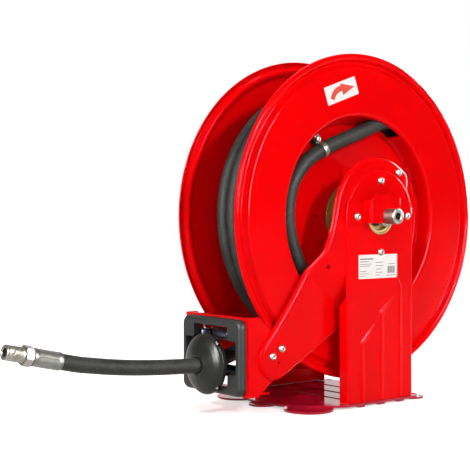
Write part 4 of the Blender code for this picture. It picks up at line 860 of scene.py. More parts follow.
piece("wound_hose", [tube(winding, HOSE_RADIUS, 30)], "hose_winding")
a = np.linspace(0.0, 2 * pi * LAYER_TURNS, 420)
layer = np.insert(LAYER_RADIUS * circle(a), 1, np.linspace(LAYER_FROM, LAYER_TO, len(a)), axis=1)
piece("inner_layer", [tube(layer, HOSE_RADIUS, 20)], "hose_core")
print("wound hose made,", len(winding), "rings")

# %% [markdown]
# ## The hose in the dish
#
# Air or water comes through the hub, out of a steel elbow, and into the hose that runs round in
# the front dish to the slot. The elbow is a quarter bend between two straights, with a swivel
# nut. A crimped sleeve joins the hose to it.

# %% Elbow, sleeve and inner run
PORT_Y, PORT_ANGLE, HUB_BORE = -58.0, -20.0, 20.5
ELBOW_REACH, ELBOW_BEND, SLEEVE_RUN = 52.0, 14.0, 30.0
RUN_ROUTE = ((6.0, -116.0), (-40.0, -128.0), (-88.0, -106.0), (-122.0, -60.0), (-138.0, -6.0),
             (-131.0, 44.0), (-104.0, 80.0), (-69.0, 101.0), (-28.0, 117.0))

outward = in_plane(PORT_ANGLE)
onward = np.array([outward[2], 0.0, -outward[0]])
corner = outward * (ELBOW_REACH - ELBOW_BEND) + onward * ELBOW_BEND
a = np.linspace(0.0, pi / 2, 16)[:, None]
lead = np.linspace(HUB_BORE + GAP, ELBOW_REACH - ELBOW_BEND - 1.0, 5)[:, None]
elbow = np.vstack([outward * lead,
                   corner - onward * ELBOW_BEND * np.cos(a) + outward * ELBOW_BEND * np.sin(a)])
elbow = np.vstack([elbow, elbow[-1] + onward * np.array([[3.0], [6.0]])]) + (0.0, PORT_Y, 0.0)
nut = rounded(ring(0.0, 9.0, 7.2, 12.0), 0.9)
piece("hub_elbow", [tube(elbow, 7.7, 32), turned(filled(nut, 2.0), 48, elbow[0] + outward * 6.0,
                                                outward, shape=hexagon(12.0))], "outlet_elbow")

sleeve_at = elbow[-1] + onward * GAP
profile = rounded([(0.0, 0.0), (0.0, 9.0), (4.0, 9.0), (4.0, 12.4), (SLEEVE_RUN, 12.4),
                   (SLEEVE_RUN, 0.0)], 1.2, 3, closed=False)
piece("inner_sleeve", [turned(filled(profile), 80, sleeve_at, onward, hole=False,
                              shape=crimp(7.0, SLEEVE_RUN - 3.0))],
      "inner_ferrule", finish="crimped_sleeve")

_, slot_start, slot_along = merge_centre()
run_stop = slot_start - slot_along * (2 * HOSE_RADIUS + GAP)
run_stop[1] = RUN_Y
route = [np.array((x, RUN_Y, z)) for x, z in RUN_ROUTE]
route[0][1] = (PORT_Y + RUN_Y) / 2
run_start = elbow[-1] + onward * (SLEEVE_RUN + 2 * GAP)
inner_run = catmull([*straight(run_start, onward), *route,
                     *straight(run_stop, -slot_along)[::-1]], 12)
piece("dish_hose", [tube(inner_run, HOSE_RADIUS, 36)], "hose_inner_run")
print("hose in the dish", round(spans(inner_run).sum()), "mm")

# %% [markdown]
# ## Hose clamp
#
# A rubber-lined band holds the hose against the hub plate. The lining is a thick ring with soft
# edges, the band a thin plated ring over it, and the foot a strip with a screw. A path along
# the hose gives the clamp its own axes, so each part is drawn square and then placed.

# %% Clamp and its screw
CLAMP_INDEX, HUB_PLATE_Y = 7, 40.0

clamp_at = np.array((RUN_ROUTE[CLAMP_INDEX][0], RUN_Y, RUN_ROUTE[CLAMP_INDEX][1]))
before, after = RUN_ROUTE[CLAMP_INDEX - 1], RUN_ROUTE[CLAMP_INDEX + 1]
clamp_along = np.array((after[0] - before[0], 0.0, after[1] - before[1]))
clamp_along /= np.linalg.norm(clamp_along)
clamp_out = np.array((-clamp_along[2], 0.0, clamp_along[0]))


def loop_prism(outline, low, high, u, v, w, origin):
    """Two rings of the outline: origin + outline x u + outline y v, at low and high along w."""
    flat = np.asarray(outline, float)
    base = np.asarray(origin, float) + flat[:, :1] * np.asarray(u) + flat[:, 1:] * np.asarray(v)
    return grid(np.stack([base + low * np.asarray(w), base + high * np.asarray(w)]), caps=True)


def round_rectangle(half_u, half_v, radius, centre=(0.0, 0.0), steps=8):
    """Four quarter circles round the corners (+-(half_u - radius), +-(half_v - radius))."""
    a = np.linspace(0.0, pi / 2, steps + 1)[None, :] + np.arange(4)[:, None] * pi / 2
    sides = np.array([(1, 1), (-1, 1), (-1, -1), (1, -1)])[:, None, :]
    corners = sides * (half_u - radius, half_v - radius)
    return (radius * circle(a) + corners).reshape(-1, 2) + centre


foot = round_rectangle(6.0, 6.6, 2.5, (0.0, 17.9))
back = (0.0, -1.0, 0.0)
clamp_axes = (clamp_along, clamp_out, back, clamp_at * (1, 0, 1))
lining = [turned(rounded(ring(-6.0, 6.0, 11.2, 12.05), 0.8), 64, clamp_at, clamp_along),
          loop_prism(foot, HUB_PLATE_Y + GAP, HUB_PLATE_Y + 9.0, *clamp_axes)]
soften(piece("clamp_lining", lining, "hose_clamp"), 0.8)
strap = [turned(rounded(ring(-4.0, 4.0, 11.9, 12.5), 0.3), 64, clamp_at, clamp_along),
         loop_prism(round_rectangle(4.6, 6.2, 2.0, (0.0, 17.9)), HUB_PLATE_Y + 9.0,
                    HUB_PLATE_Y + 11.5, *clamp_axes)]
soften(piece("clamp_strap", strap, body="drum", slot="zinc_plate"), 0.3)
clamp_spot = clamp_at * (1, 0, 1) + clamp_out * 18.0 - (0.0, HUB_PLATE_Y + 11.6, 0.0)
piece("clamp_screw_head", [button(clamp_spot, back, 5.2, 3.6, 2.1, 3.5, 11.0)], "clamp_screw")
print("clamp made")

# %% [markdown]
# ## Pressed discs
#
# Each disc is one sheet, spun or pressed: a curled rim, a deep groove, a flat face, a dish and a
# hub plate. Its half section is a profile of two skins 2 mm apart, and rounding it gives the
# soft radii of pressed sheet that catch the light. The front one has a slot for the hose.

# %% Disc section
SHEET, DISC_RADIUS, DISC_FACE_Y, RIM_CREST_Y = 2.0, 250.0, 70.0, 71.0
GROOVE_RADIUS, GROOVE_DEPTH, DISH_RADIUS, DISH_FILLET, HUB_RADIUS = 235.0, 8.0, 154.0, 5.0, 25.0


def disc_profile(side):
    """Outer skin from the rim to the hub hole, and the inner skin back, as (along, radius)."""
    face, crest, t, bottom = DISC_FACE_Y, RIM_CREST_Y, SHEET, HUB_PLATE_Y
    groove, g, f, wall = crest - 1.0 - GROOVE_DEPTH, GROOVE_RADIUS, DISH_FILLET, DISH_RADIUS
    hole = HUB_RADIUS + GAP
    outer = [(crest - 6.0, DISC_RADIUS), (crest - 1.0, DISC_RADIUS - 1.0),
             (crest, DISC_RADIUS - 5.0), (crest - 1.5, g + 5.5), (groove, g + 1.5),
             (groove, g - 1.5), (face, g - 8.0), (face, wall + f),
             (face - 0.3 * f, wall + 0.3 * f), (face - f, wall), (bottom + f, wall),
             (bottom, wall - f), (bottom, hole)]
    inner = [(bottom - t, hole), (bottom - t, wall - f + 1.0), (bottom + f, wall + t),
             (face - f - 1.0, wall + t), (face - t, wall + f + 1.0), (face - t, g - 9.0),
             (groove - t, g - 2.5), (groove - t, g + 2.5), (crest - t, DISC_RADIUS - 6.0),
             (crest - 6.0, DISC_RADIUS - t)]
    return np.array([(side * along, radius) for along, radius in outer + inner])


def pressed_disc(name, side):
    """The disc's rounded half section turned round the axle."""
    return make_mesh(name, [turned(rounded(disc_profile(side), 2.4, 4), 288)], 40.0)


# %% [markdown]
# ## Slot and hub bolts
#
# The hose passes through a slot in the dish's wall, cut by a rounded prism that points outwards
# from the axle. Ten flat hexagon heads stand in a ring on the front hub plate.

# %% Discs, slot and hub bolts
SLOT_ANGLE, BOLT_CIRCLE, BOLTS, FIRST_BOLT = 66.0, 69.7, 10, 175.5

slot_out, slot_round = in_plane(SLOT_ANGLE), in_plane(SLOT_ANGLE + 90.0)
slot_outline = round_rectangle(12.0, 30.0, 6.0, (RUN_Y, 0.0))
slot_cutter = loop_prism(slot_outline, DISH_RADIUS - 12.0, DISH_RADIUS + 12.0, (0.0, 1.0, 0.0),
                         slot_round, slot_out, (0.0, 0.0, 0.0))
settle(carve(pressed_disc("front_disc_form", -1.0), [slot_cutter], sharp=40.0), "front_disc")
settle(pressed_disc("rear_disc_form", 1.0), "rear_disc")
bolt_head = rounded([(-0.3, 0.0), (-0.3, 5.5), (3.9, 5.5), (3.9, 0.0)], 0.7, 3, closed=False)
bolt_spots = [in_plane(FIRST_BOLT + 360.0 / BOLTS * k) * BOLT_CIRCLE - (0.0, HUB_PLATE_Y, 0.0)
              for k in range(BOLTS)]
bolts = [turned(filled(bolt_head, 1.0), 36, spot, back, hole=False, shape=hexagon(5.5))
         for spot in bolt_spots]
piece("hub_bolts", bolts, body="drum", slot="red_enamel")
print("discs made")

# %% [markdown]
# ## Hub, swivel and drum core
#
# Inside the discs sit turned pieces: the hub tube with its two rings, a flange, bushes, and the
# swivel that lets the inlet stand still while the drum turns. They are profiles turned round the
# axle, with small chamfers. Most of them are seen only from close by or from behind.

# %% Turned pieces of the hub
PORT = (0.0, PORT_Y, 0.0)

hub_section = [(-107.0, 20.5), (-107.0, 25.0), (-37.7, 25.0), (-37.7, 80.0), (-33.7, 80.0),
               (-33.7, 25.0), (33.7, 25.0), (33.7, 80.0), (37.7, 80.0), (37.7, 20.5)]
piece("hub_tube_form", [turned(rounded(hub_section, 0.8), 128)], "hub_tube",
      cuts=[plug(7.0, 36.0, 8.3, 48, PORT, outward)])
swivel_section = [(-98.0, 14.2), (-98.0, 20.2), (-38.0, 20.2), (-38.0, 0.0), (-45.0, 0.0),
                  (-45.0, 10.3), (-87.0, 10.3), (-87.0, 14.2)]
piece("swivel_form", [turned(rounded(swivel_section, 0.5), 96)], "swivel_body",
      cuts=[plug(7.0, 24.5, 6.0, 40, PORT, outward)])

bearing_section = [(-108.5, 25.3), (-108.5, 27.2), (-101.9, 27.2), (-101.9, 34.0), (-98.9, 34.0),
                   (-98.9, 25.3)]
TURNED = {
    "drum_core": (ring(-37.7, 37.7, 150.0, 153.0), 0.6, 160),
    "hub_flange": (ring(-44.3, -40.3, 25.3, 52.0), 0.8, 128),
    "front_bearing": (bearing_section, 0.5, 96),
    "rear_bearing": (ring(11.7, 37.7, 15.2, 20.2), 0.6, 96),
    "swivel_seal": (ring(-97.0, -87.3, 10.2, 13.9), 0.8, 64),
}
for node, (section, edge, around) in TURNED.items():
    piece(node + "_form", [turned(rounded(section, edge), around)], node)
print(len(TURNED) + 2, "turned pieces of the hub")

# %% [markdown]
# ## Inlet, axle and nut
#
# The inlet is a bored stub in front of the bracket. The axle at the rear is fixed, so it ends in
# a thread with a nut. The nut is a ring whose radius is cut down to a hexagon, with a chamfer.

# %% Inlet, arbor and axle nut
inlet = [(-145.0, 5.5), (-145.0, 10.6), (-144.0, 11.6), (-121.7, 11.6), (-121.7, 15.0),
         (-115.7, 15.0), (-115.7, 10.0), (-62.0, 10.0), (-62.0, 5.5)]
piece("inlet_stub", [turned(rounded(inlet, 0.7), 96)], "inlet_spindle")
arbor = [(4.0, 0.0), (4.0, 15.0), (45.0, 15.0), (45.0, 24.0), (78.0, 24.0), (78.0, 15.0),
         (96.9, 15.0), (96.9, 22.0), (101.9, 22.0), (101.9, 15.0), (128.5, 15.0), (128.5, 0.0)]
arbor = filled(rounded(arbor, 1.0, closed=False), 0.45)
piece("axle_form", [turned(arbor, 80, hole=False, shape=thread(122.5, 127.5, 15.0, 0.9))],
      "axle_arbor")
nut = rounded([(108.8, 15.3), (108.8, 21.5), (110.6, 24.0), (119.0, 24.0), (120.8, 21.5),
               (120.8, 15.3)], 0.5)
piece("axle_nut_form", [turned(filled(nut, 2.0), 72, shape=hexagon(24.0))], "axle_nut")
print("inlet and axle made")

# %% [markdown]
# ## Stiffening beads
#
# Long ridges are pressed into a pedestal's sheet, because a ridge stiffens it. Each bead runs
# straight up from the foot, bends and fades out. Its height is a smooth bump of the distance to
# that path, and the narrowing follows from how far along the path a point is.

# %% Beads as a bump of distance
FOOT_Z = -278.7
BEAD_HALF, BEAD_TAPER, BEAD_RISE = 4.5, 3.9, 2.0
BEAD_PATHS = (((-39.0, -189.0), (-13.0, -163.0)), ((2.0, -145.0), (28.0, -121.0)),
              ((42.0, -107.0), (34.0, -93.0)))


def along_segment(x, z, a, b):
    """Distance to the segment a b, and the share of the way along it."""
    dx, dz = b[0] - a[0], b[1] - a[1]
    t = np.clip(((x - a[0]) * dx + (z - a[1]) * dz) / (dx * dx + dz * dz), 0.0, 1.0)
    return np.hypot(x - a[0] - t * dx, z - a[1] - t * dz), t


def bead_height(x, z):
    """rise (1 - q^2)^2, q the distance to a bead's path over its half width, 4.5 mm to 0.6."""
    height = 0.0 * x
    for start, end in BEAD_PATHS:
        low, _ = along_segment(x, z, (start[0], FOOT_Z + 2.0), start)
        high, t = along_segment(x, z, start, end)
        q = np.minimum(low / BEAD_HALF, high / (BEAD_HALF - BEAD_TAPER * t ** 2))
        height = np.maximum(height, BEAD_RISE * (1.0 - np.minimum(q, 1.0) ** 2) ** 2)
    return height


# %% [markdown]
# ## Channel pedestals
#
# A pedestal is one folded sheet: a face with a round head, and a flange down each side. The
# face is a height field over its outline, whose edge is a quarter round of the distance to the
# outline. Columns crowd together at the edge, so that the round edge has enough of them.

# %% Pedestal face and flanges
PEDESTAL_Y, PEDESTAL_HALF, EDGE = 108.5, 70.0, 3.0
FLANGE_BACK, FLANGE_FRONT, FLANGE_SLANT, FLANGE_INSIDE = 91.0, 105.6, 16.0, 67.0
CREASE, CREASE_DEPTH, CREASE_WIDTH = ((18.0, 69.0), (-21.0, 30.0)), 0.35, 1.2


def pedestal_face(side):
    """y = 108.5 + bead - drop, drop = 3 - sqrt(9 - (3 - d)^2) at distance d from the edge."""
    edge = np.array([0.957, 0.966, 0.976, 0.985, 0.993, 1.0])
    u = np.concatenate([-edge[::-1], np.linspace(-0.95, 0.95, 115), edge])
    head = PEDESTAL_HALF * np.sin(np.radians(np.linspace(0.0, 86.8, 38)[1:]))
    z = np.concatenate([np.linspace(FOOT_Z, 0.0, 150), head])[:, None]
    width = np.sqrt(np.maximum(PEDESTAL_HALF ** 2 - np.maximum(z, 0.0) ** 2, 0.0))
    x, z = u * width, z + 0.0 * u
    d = np.clip(PEDESTAL_HALF - np.where(z > 0.0, np.hypot(x, z), np.abs(x)), 0.0, EDGE)
    crease, _ = along_segment(x, z, *CREASE)
    y = (PEDESTAL_Y + bead_height(x, z) - EDGE + np.sqrt(EDGE ** 2 - (EDGE - d) ** 2)
         - CREASE_DEPTH * np.exp(-(crease / CREASE_WIDTH) ** 2))
    skin = np.stack([x, side * y, z], -1)
    flat = skin * (1, 0, 1) + (0.0, side * (PEDESTAL_Y - EDGE), 0.0)
    points, faces, uv = grid(np.vstack([flat[:1], skin, flat[-1:]]), close_columns=False)
    rows, columns = len(skin) + 2, len(u)
    index = np.arange(rows * columns).reshape(rows, columns)
    border = np.concatenate([index[0], index[1:, -1], index[-1, -2::-1], index[-2:0:-1, 0]])
    return points, faces + [border.tolist()], np.vstack([uv, np.zeros((len(border), 2))])


def pedestal_flange(side, x, top):
    """A flange from the face back to its free edge, cut off at a slant at its top."""
    outline = [(FLANGE_FRONT, FOOT_Z), (FLANGE_BACK, FOOT_Z), (FLANGE_BACK, top - FLANGE_SLANT),
               (FLANGE_FRONT, top)]
    outline = [(side * y, z) for y, z in outline]
    low, high = sorted((x, x * FLANGE_INSIDE / PEDESTAL_HALF))
    return loop_prism(outline, low, high, (0, 1, 0), (0, 0, 1), (1, 0, 0), (0, 0, 0))


# %% [markdown]
# ## Both pedestals
#
# The front pedestal carries the hub's bush and the rear one the axle, so only the hole in the
# middle differs. The flanges are plain prisms, and a live bevel softens their cut edges.

# %% Both pedestals
SIDES = (("front", -1.0, 27.5), ("rear", 1.0, 15.3))    # side of the drum, and the hub hole

for word, side, hub_hole in SIDES:
    low, high = sorted((side * 100.0, side * 115.0))
    piece(word + "_pedestal_form", [pedestal_face(side)], word + "_pedestal", sharp=50.0,
          cuts=[plug(low, high, hub_hole, 96)])
    flanges = [pedestal_flange(side, -PEDESTAL_HALF, -118.0),
               pedestal_flange(side, PEDESTAL_HALF, 4.0)]
    soften(piece(word + "_pedestal_flanges", flanges, body="frame", slot="red_enamel"), 0.7)
print("pedestals made")

# %% [markdown]
# ## Outline of the crescent arms
#
# Seen from the front, an arm is a crescent: a round head behind the pedestal, a round foot at
# the guide and a long curve on each side between them. The head and the foot are arcs, and the
# long curves are cubics that leave them square to their radii, so that no kink shows. The lower
# one ends at a short straight edge that the pedestal hides. The rolled border needs the outline
# many times, each a little smaller, so the outline takes an inset.

# %% Arm outline
ARM_FOOT, ARM_HEAD_RADIUS, ARM_FOOT_RADIUS, ARM_RIGHT = (-183.0, -204.0), 90.0, 31.0, 64.0


def fine_arc(centre, radius, start, end, count):
    """centre + radius (cos a, sin a) for angles in degrees."""
    return np.asarray(centre) + radius * circle(np.radians(np.linspace(start, end, count + 1)))


def cubic(p0, p1, p2, p3, count):
    """s^3 p0 + 3 s^2 t p1 + 3 s t^2 p2 + t^3 p3 with s = 1 - t, without p0."""
    t = np.linspace(0.0, 1.0, count + 1)[1:, None]
    s = 1.0 - t
    return s ** 3 * p0 + 3 * s * s * t * p1 + 3 * s * t * t * p2 + t ** 3 * p3


def arm_outline(inset):
    """Round head, long curve, round foot and long curve back, moved in by inset."""
    head, foot, right = ARM_HEAD_RADIUS - inset, ARM_FOOT_RADIUS - inset, ARM_RIGHT - inset
    corner = degrees(acos(right / head))
    crown = fine_arc((0.0, 0.0), head, corner, 170.0, 56)
    leave, arrive, low = radians(170.0), radians(140.0), radians(300.0)
    p0, p3 = crown[-1], np.array(ARM_FOOT) + foot * np.array((cos(arrive), sin(arrive)))
    p1 = p0 + 80.0 * np.array((-sin(leave), cos(leave)))
    p2 = p3 + 80.0 * np.array((sin(arrive), -cos(arrive)))
    toe = fine_arc(ARM_FOOT, foot, 140.0, 300.0, 32)[1:]
    q0, q3 = toe[-1], np.array((right, -head * sin(radians(corner))))
    q1 = q0 + 110.0 * np.array((-sin(low), cos(low)))
    q2 = np.array((24.0, -129.0 + inset))
    return np.vstack([crown, cubic(p0, p1, p2, p3, 60), toe, cubic(q0, q1, q2, q3, 56)])


# %% [markdown]
# ## Border and step of the arms
#
# The sheet's border is rolled back, and the arm steps in towards the drum on its way to the
# guide. The border is a set of rings of the outline, each a little further in, along a quarter
# circle. The flat part is one big face, so it is first cut along lines where the step bends
# it, and then its points are moved by a ramp with soft ends.

# %% Arm border and step
ARM_HEAD_Y, ARM_FOOT_Y, ARM_SHEET, ARM_ROLL = 105.2, 81.0, 3.0, 6.0
STEP_FROM, STEP_TO, STEP_SOFT = 112.0, 144.0, 0.16      # along the arm, and a share of the step


def arm_rings(side):
    """Rings (inset, y): the rolled border, the lip's edge, and back up the inside."""
    a = np.linspace(0.0, pi / 2, 9)
    rolled = np.stack([ARM_ROLL * (1 - np.sin(a)), ARM_HEAD_Y - ARM_ROLL * (1 - np.cos(a))], -1)
    inside = [(1.2, 98.9), (2.6, 99.6), (3.2, 101.2), (4.6, 102.1), (6.6, ARM_HEAD_Y - ARM_SHEET)]
    rows = [(6.6, ARM_HEAD_Y), *rolled.tolist(), *inside]
    points = np.stack([np.insert(arm_outline(inset), 1, side * y, axis=1) for inset, y in rows])
    return grid(points, caps=True)


def stepped(mesh, side):
    """Move y by 24.2 f(q), q = (s - 112) / 32 along the arm, f a ramp with parabolic ends."""
    length = np.hypot(*ARM_FOOT)
    ahead = np.array((ARM_FOOT[0] / length, 0.0, ARM_FOOT[1] / length))
    soft = STEP_SOFT
    bm = bmesh.new()
    bm.from_mesh(mesh)
    for q in (-soft, -soft / 2, 0.0, soft / 2, soft, 0.5, 1 - soft, 1 - soft / 2, 1.0,
              1 + soft / 2, 1 + soft):
        spot = ahead * (STEP_FROM + q * (STEP_TO - STEP_FROM))
        bmesh.ops.bisect_plane(bm, geom=bm.verts[:] + bm.edges[:] + bm.faces[:],
                               plane_co=Vector(in_world(spot)), plane_no=Vector(ahead))
    bm.to_mesh(mesh)
    bm.free()
    co = np.empty(len(mesh.vertices) * 3, np.float32)
    mesh.vertices.foreach_get("co", co)
    co = co.reshape(-1, 3)
    q = ((co / MM - (0.0, 0.0, AXLE_HEIGHT)) @ ahead - STEP_FROM) / (STEP_TO - STEP_FROM)

    def ramp(q):
        return np.where(q < -soft, 0.0, np.where(q > soft, q, (q + soft) ** 2 / (4 * soft)))

    co[:, 1] -= side * (ARM_HEAD_Y - ARM_FOOT_Y) * (ramp(q) - ramp(q - 1.0)) * MM
    mesh.vertices.foreach_set("co", co.ravel())
    mesh.update()
    return mesh


# %% [markdown]
# ## Both arms
#
# Besides the hub hole, each arm has a hole halfway down and two small ones at its foot.

# %% Both arms
ARM_HOLES = (((-99.0, 0.0, -73.8), 3.0, 32), ((-181.0, 0.0, -210.0), 1.9, 24),
             ((-186.0, 0.0, -199.4), 1.9, 24))

for word, side, hub_hole in SIDES:
    arm = stepped(make_mesh(word + "_arm_form", [arm_rings(side)], 40.0), side)
    low, high = sorted((side * 70.0, side * 112.0))
    holes = [plug(low, high, radius, around, spot)
             for spot, radius, around in (((0.0, 0.0, 0.0), hub_hole, 96), *ARM_HOLES)]
    settle(carve(arm, holes, sharp=40.0), word + "_guide_arm")
print("arms made")

# %% [markdown]
# ## Inlet bracket
#
# The bracket is a hat section: a strip bent out, across and back, whose middle part rises to a
# gable with cut corners. The middle line of the strip is a path with soft bends. Two skins lie
# half a sheet from it, and the top edge's height depends on where on the path it is.

# %% Bracket
BRACKET_PATH = ((-70.0, -110.3), (-35.5, -110.3), (-35.5, -123.5), (26.5, -123.5), (26.5, -110.3),
                (62.0, -110.3))
BRACKET_FROM, BRACKET_TO, BRACKET_RISE, HALF_SHEET = -10.0, 23.0, 10.0, 1.5
GABLE_LEFT, GABLE_RIGHT = -37.0, 28.0

path = filled(rounded(BRACKET_PATH, 4.2, 6, closed=False), 1.5)
ahead = unit(np.gradient(path, axis=0))
normal = np.stack([ahead[:, 1], -ahead[:, 0]], -1) * HALF_SHEET
inside = np.minimum(path[:, 0] - GABLE_LEFT, GABLE_RIGHT - path[:, 0])
gable = BRACKET_TO + np.clip(inside, 0.0, BRACKET_RISE)
low = np.full(len(path), BRACKET_FROM)
skins = [np.stack([p[:, 0], p[:, 1], z], -1) for p, z in (
    (path + normal, low), (path + normal, gable), (path - normal, gable), (path - normal, low))]
hat = piece("bracket_form", [grid(np.stack(skins, 1), caps=True)], "swivel_bracket",
            cuts=[plug(-135.0, -115.0, 11.9, 64)])
soften(hat, 0.8)
print("bracket made")

# %% [markdown]
# ## Base plate
#
# The base is a flat plate on five ears that stand on the floor, stiffened by three channels
# across it. Plate, ears and channels are plain solids joined by exact Booleans, the grooves and
# bolt holes are cut, and one bevel softens what is left.

# %% Base plate
FLOOR_Z, PLATE_LOW, PLATE_TOP = -285.0, -282.3, -279.0
PLATE = ((92.0, -100.0), (92.0, 100.0), (80.0, 112.0), (-80.0, 112.0), (-143.0, 50.0),
         (-150.0, 12.0), (-150.0, -12.0), (-143.0, -50.0), (-80.0, -112.0), (80.0, -112.0))
EARS = (((-122.0, -80.0), 37.0), ((-122.0, 80.0), 37.0), ((-143.3, 0.0), 21.0),
        ((84.0, -96.0), 17.0), ((84.0, 96.0), 17.0))
CHANNELS, FOOT_HEIGHT = (-42.0, 0.0, 42.0), 3.0
UP = ((1, 0, 0), (0, 1, 0), (0, 0, 1), (0, 0, 0))       # an outline in X and Y, raised
DEEP = ((1, 0, 0), (0, 0, 1), (0, 1, 0), (0, 0, 0))     # an outline in X and Z, along the axle


def channel(x, half, low, high):
    """A trapezium across the plate, 2 mm narrower at its bottom on each side."""
    return [(x - half, high), (x - half + 2.0, low), (x + half - 2.0, low), (x + half, high)]


base = make_mesh("base_form", [loop_prism(rounded(PLATE, 14.0, 6), PLATE_LOW, PLATE_TOP, *UP)])
for centre, radius in EARS:
    disc = fine_arc(centre, radius, 0.0, 354.0, 59)
    base = carve(base, [loop_prism(disc, FLOOR_Z, FLOOR_Z + FOOT_HEIGHT, *UP)], "UNION")
ribs = [loop_prism(channel(x, 7.5, FLOOR_Z, FLOOR_Z + FOOT_HEIGHT), -111.0, 111.0, *DEEP)
        for x in CHANNELS]
base = carve(base, ribs, "UNION")
grooves = [loop_prism(channel(x, 4.5, PLATE_TOP - 3.0, PLATE_TOP + 1.0), -100.5, 100.5, *DEEP)
           for x in CHANNELS]
holes = [loop_prism(fine_arc(centre, 5.5, 0.0, 350.0, 35), -290.0, -275.0, *UP)
         for centre, _ in EARS]
base = carve(base, grooves + holes)
# The base plate's darker enamel is painted shade.
soften(settle(base, "base_plate", finish="shaded_wet_enamel"), 0.8)
print("base plate made")

# %% [markdown]
# ## Screws and nuts
#
# Button screws with hexagon sockets hold the sheets together, each with a nut behind. One
# function makes the pair from the sheets' outer face and their thickness.

# %% Screws and nuts
ARM_SCREWS = [(f"arm_screw_{word}_{place}", (0.0, z), side * PEDESTAL_Y, side, 6.3)
              for word, side, _ in SIDES
              for place, z in (("upper", 54.0), ("lower", -54.0))]
ARM_SCREWS.append(("arm_screw_front_ear", (41.7, 67.1), -ARM_HEAD_Y, -1.0, 3.0))
BRACKET_SCREWS = [("bracket_screw_" + word, (x, 0.0), -111.8, -1.0, 9.6)
                  for word, x in (("left", -53.0), ("right", 53.0))]
GUIDE_SCREWS = [(f"guide_screw_{word}_{place}", spot, side * ARM_FOOT_Y, side, 8.8)
                for word, side, _ in SIDES
                for place, spot in (("upper", (-175.0, -190.0)), ("lower", (-192.0, -200.0)))]


def screw_and_nut(node, spot, face, side, grip):
    """A button screw on the outer face and a hexagon nut behind the sheets."""
    axis, low = (0.0, side, 0.0), -grip - GAP - 5.0
    seat = (spot[0], face + side * GAP, spot[1])
    nut = rounded([(low, 3.9), (low, 5.2), (low + 0.8, 6.0), (low + 4.2, 6.0), (low + 5.0, 5.2),
                   (low + 5.0, 3.9)], 0.2, 2)
    piece(node + "_form", [button(seat, axis, 5.7, 3.5, 2.3, 4.0, grip + 5.2),
                           turned(filled(nut, 1.5), 48, seat, axis, shape=hexagon(6.0))], node)


screws = ARM_SCREWS + BRACKET_SCREWS + GUIDE_SCREWS
for row in screws:
    screw_and_nut(*row)
print(len(screws), "screws made")

# %% [markdown]
# ## Roller guide
#
# The guide is a folded steel box with a nylon frame in front, and four rollers behind its
# cross-shaped window. The box is a merged copy of its plain solid, cut and bevelled. The frame
# is a loop carried between two outlines: a soft outer rectangle and the cross inside.

# %% Roller box
GUIDE_Z, BEZEL_FRONT, BOX_FRONT = -201.5, -243.0, -231.5
SIDEWAYS = ((0, 1, 0), (0, 0, 1), (1, 0, 0), (0, 0, GUIDE_Z))


def copied(node):
    """A copy of a plain solid, merged, with its flat faces made whole again."""
    bm = bmesh.new()
    bm.from_mesh(frame["nodes"][node].data)
    bmesh.ops.remove_doubles(bm, verts=bm.verts, dist=1e-6)
    bmesh.ops.dissolve_limit(bm, angle_limit=radians(0.5), verts=bm.verts, edges=bm.edges)
    bmesh.ops.recalc_face_normals(bm, faces=bm.faces)
    mesh = bpy.data.meshes.new(node + "_form")
    bm.to_mesh(mesh)
    bm.free()
    mesh.shade_smooth()
    mesh.set_sharp_from_angle(angle=radians(35))
    return mesh


def cross(half_wide, half_low, half_narrow, half_high, radius, steps=5):
    """A cross of two rectangles with rounded corners: 12 corners, each inside its rectangle."""
    corners = [(half_wide, -half_low), (half_wide, half_low), (half_narrow, half_low),
               (half_narrow, half_high), (-half_narrow, half_high), (-half_narrow, half_low),
               (-half_wide, half_low), (-half_wide, -half_low), (-half_narrow, -half_low),
               (-half_narrow, -half_high), (half_narrow, -half_high), (half_narrow, -half_low)]
    return rounded(corners, radius, steps)


cutter = loop_prism(cross(60.5, 26.0, 41.0, 45.0, 2.0), BOX_FRONT - 4.5, BOX_FRONT + 5.5, *SIDEWAYS)
box = carve(copied("roller_box"), [cutter])
soften(settle(box, "roller_box"), 0.8)

# %% [markdown]
# ## Nylon frame
#
# Each loop of the frame has as many points as the cross inside it, so the outer rectangle is
# read at the same angles. The loops run up the outer side, round its soft edge, over the face
# to the cross, and back through the window.

# %% Nylon frame
BEZEL_HALF, BEZEL_CORNER, BEZEL_BACK, BEZEL_EDGE = (70.0, 55.0), 13.0, -231.8, 6.0


def ray_rectangle(angle, half_u, half_v, radius):
    """Reach of a rounded rectangle: to its side, or b + sqrt(b^2 - q) to the circle at a corner."""
    c, s = np.abs(np.cos(angle)), np.abs(np.sin(angle))
    reach = np.minimum(half_u / np.maximum(c, 1e-9), half_v / np.maximum(s, 1e-9))
    u, v = reach * c, reach * s
    cu, cv = half_u - radius, half_v - radius
    b, q = cu * c + cv * s, cu * cu + cv * cv - radius * radius
    round_reach = b + np.sqrt(np.maximum(b * b - q, 0.0))
    return np.where((u > cu) & (v > cv), round_reach, reach)


inner = cross(59.5, 24.0, 40.0, 44.0, 2.5)
inner = filled(np.vstack([inner, inner[:1]]), 1.6)[:-1]
angle = np.arctan2(inner[:, 1], inner[:, 0])


def frame_loop(share, inset, x):
    """Loop share of the way from the outer rectangle, less inset, to the cross, at depth x."""
    reach = ray_rectangle(angle, BEZEL_HALF[0] - inset, BEZEL_HALF[1] - inset, BEZEL_CORNER - inset)
    outer = reach[:, None] * circle(angle)
    loop = outer * (1 - share) + inner * share
    return np.column_stack([np.full(len(loop), x), loop[:, 0], loop[:, 1] + GUIDE_Z])


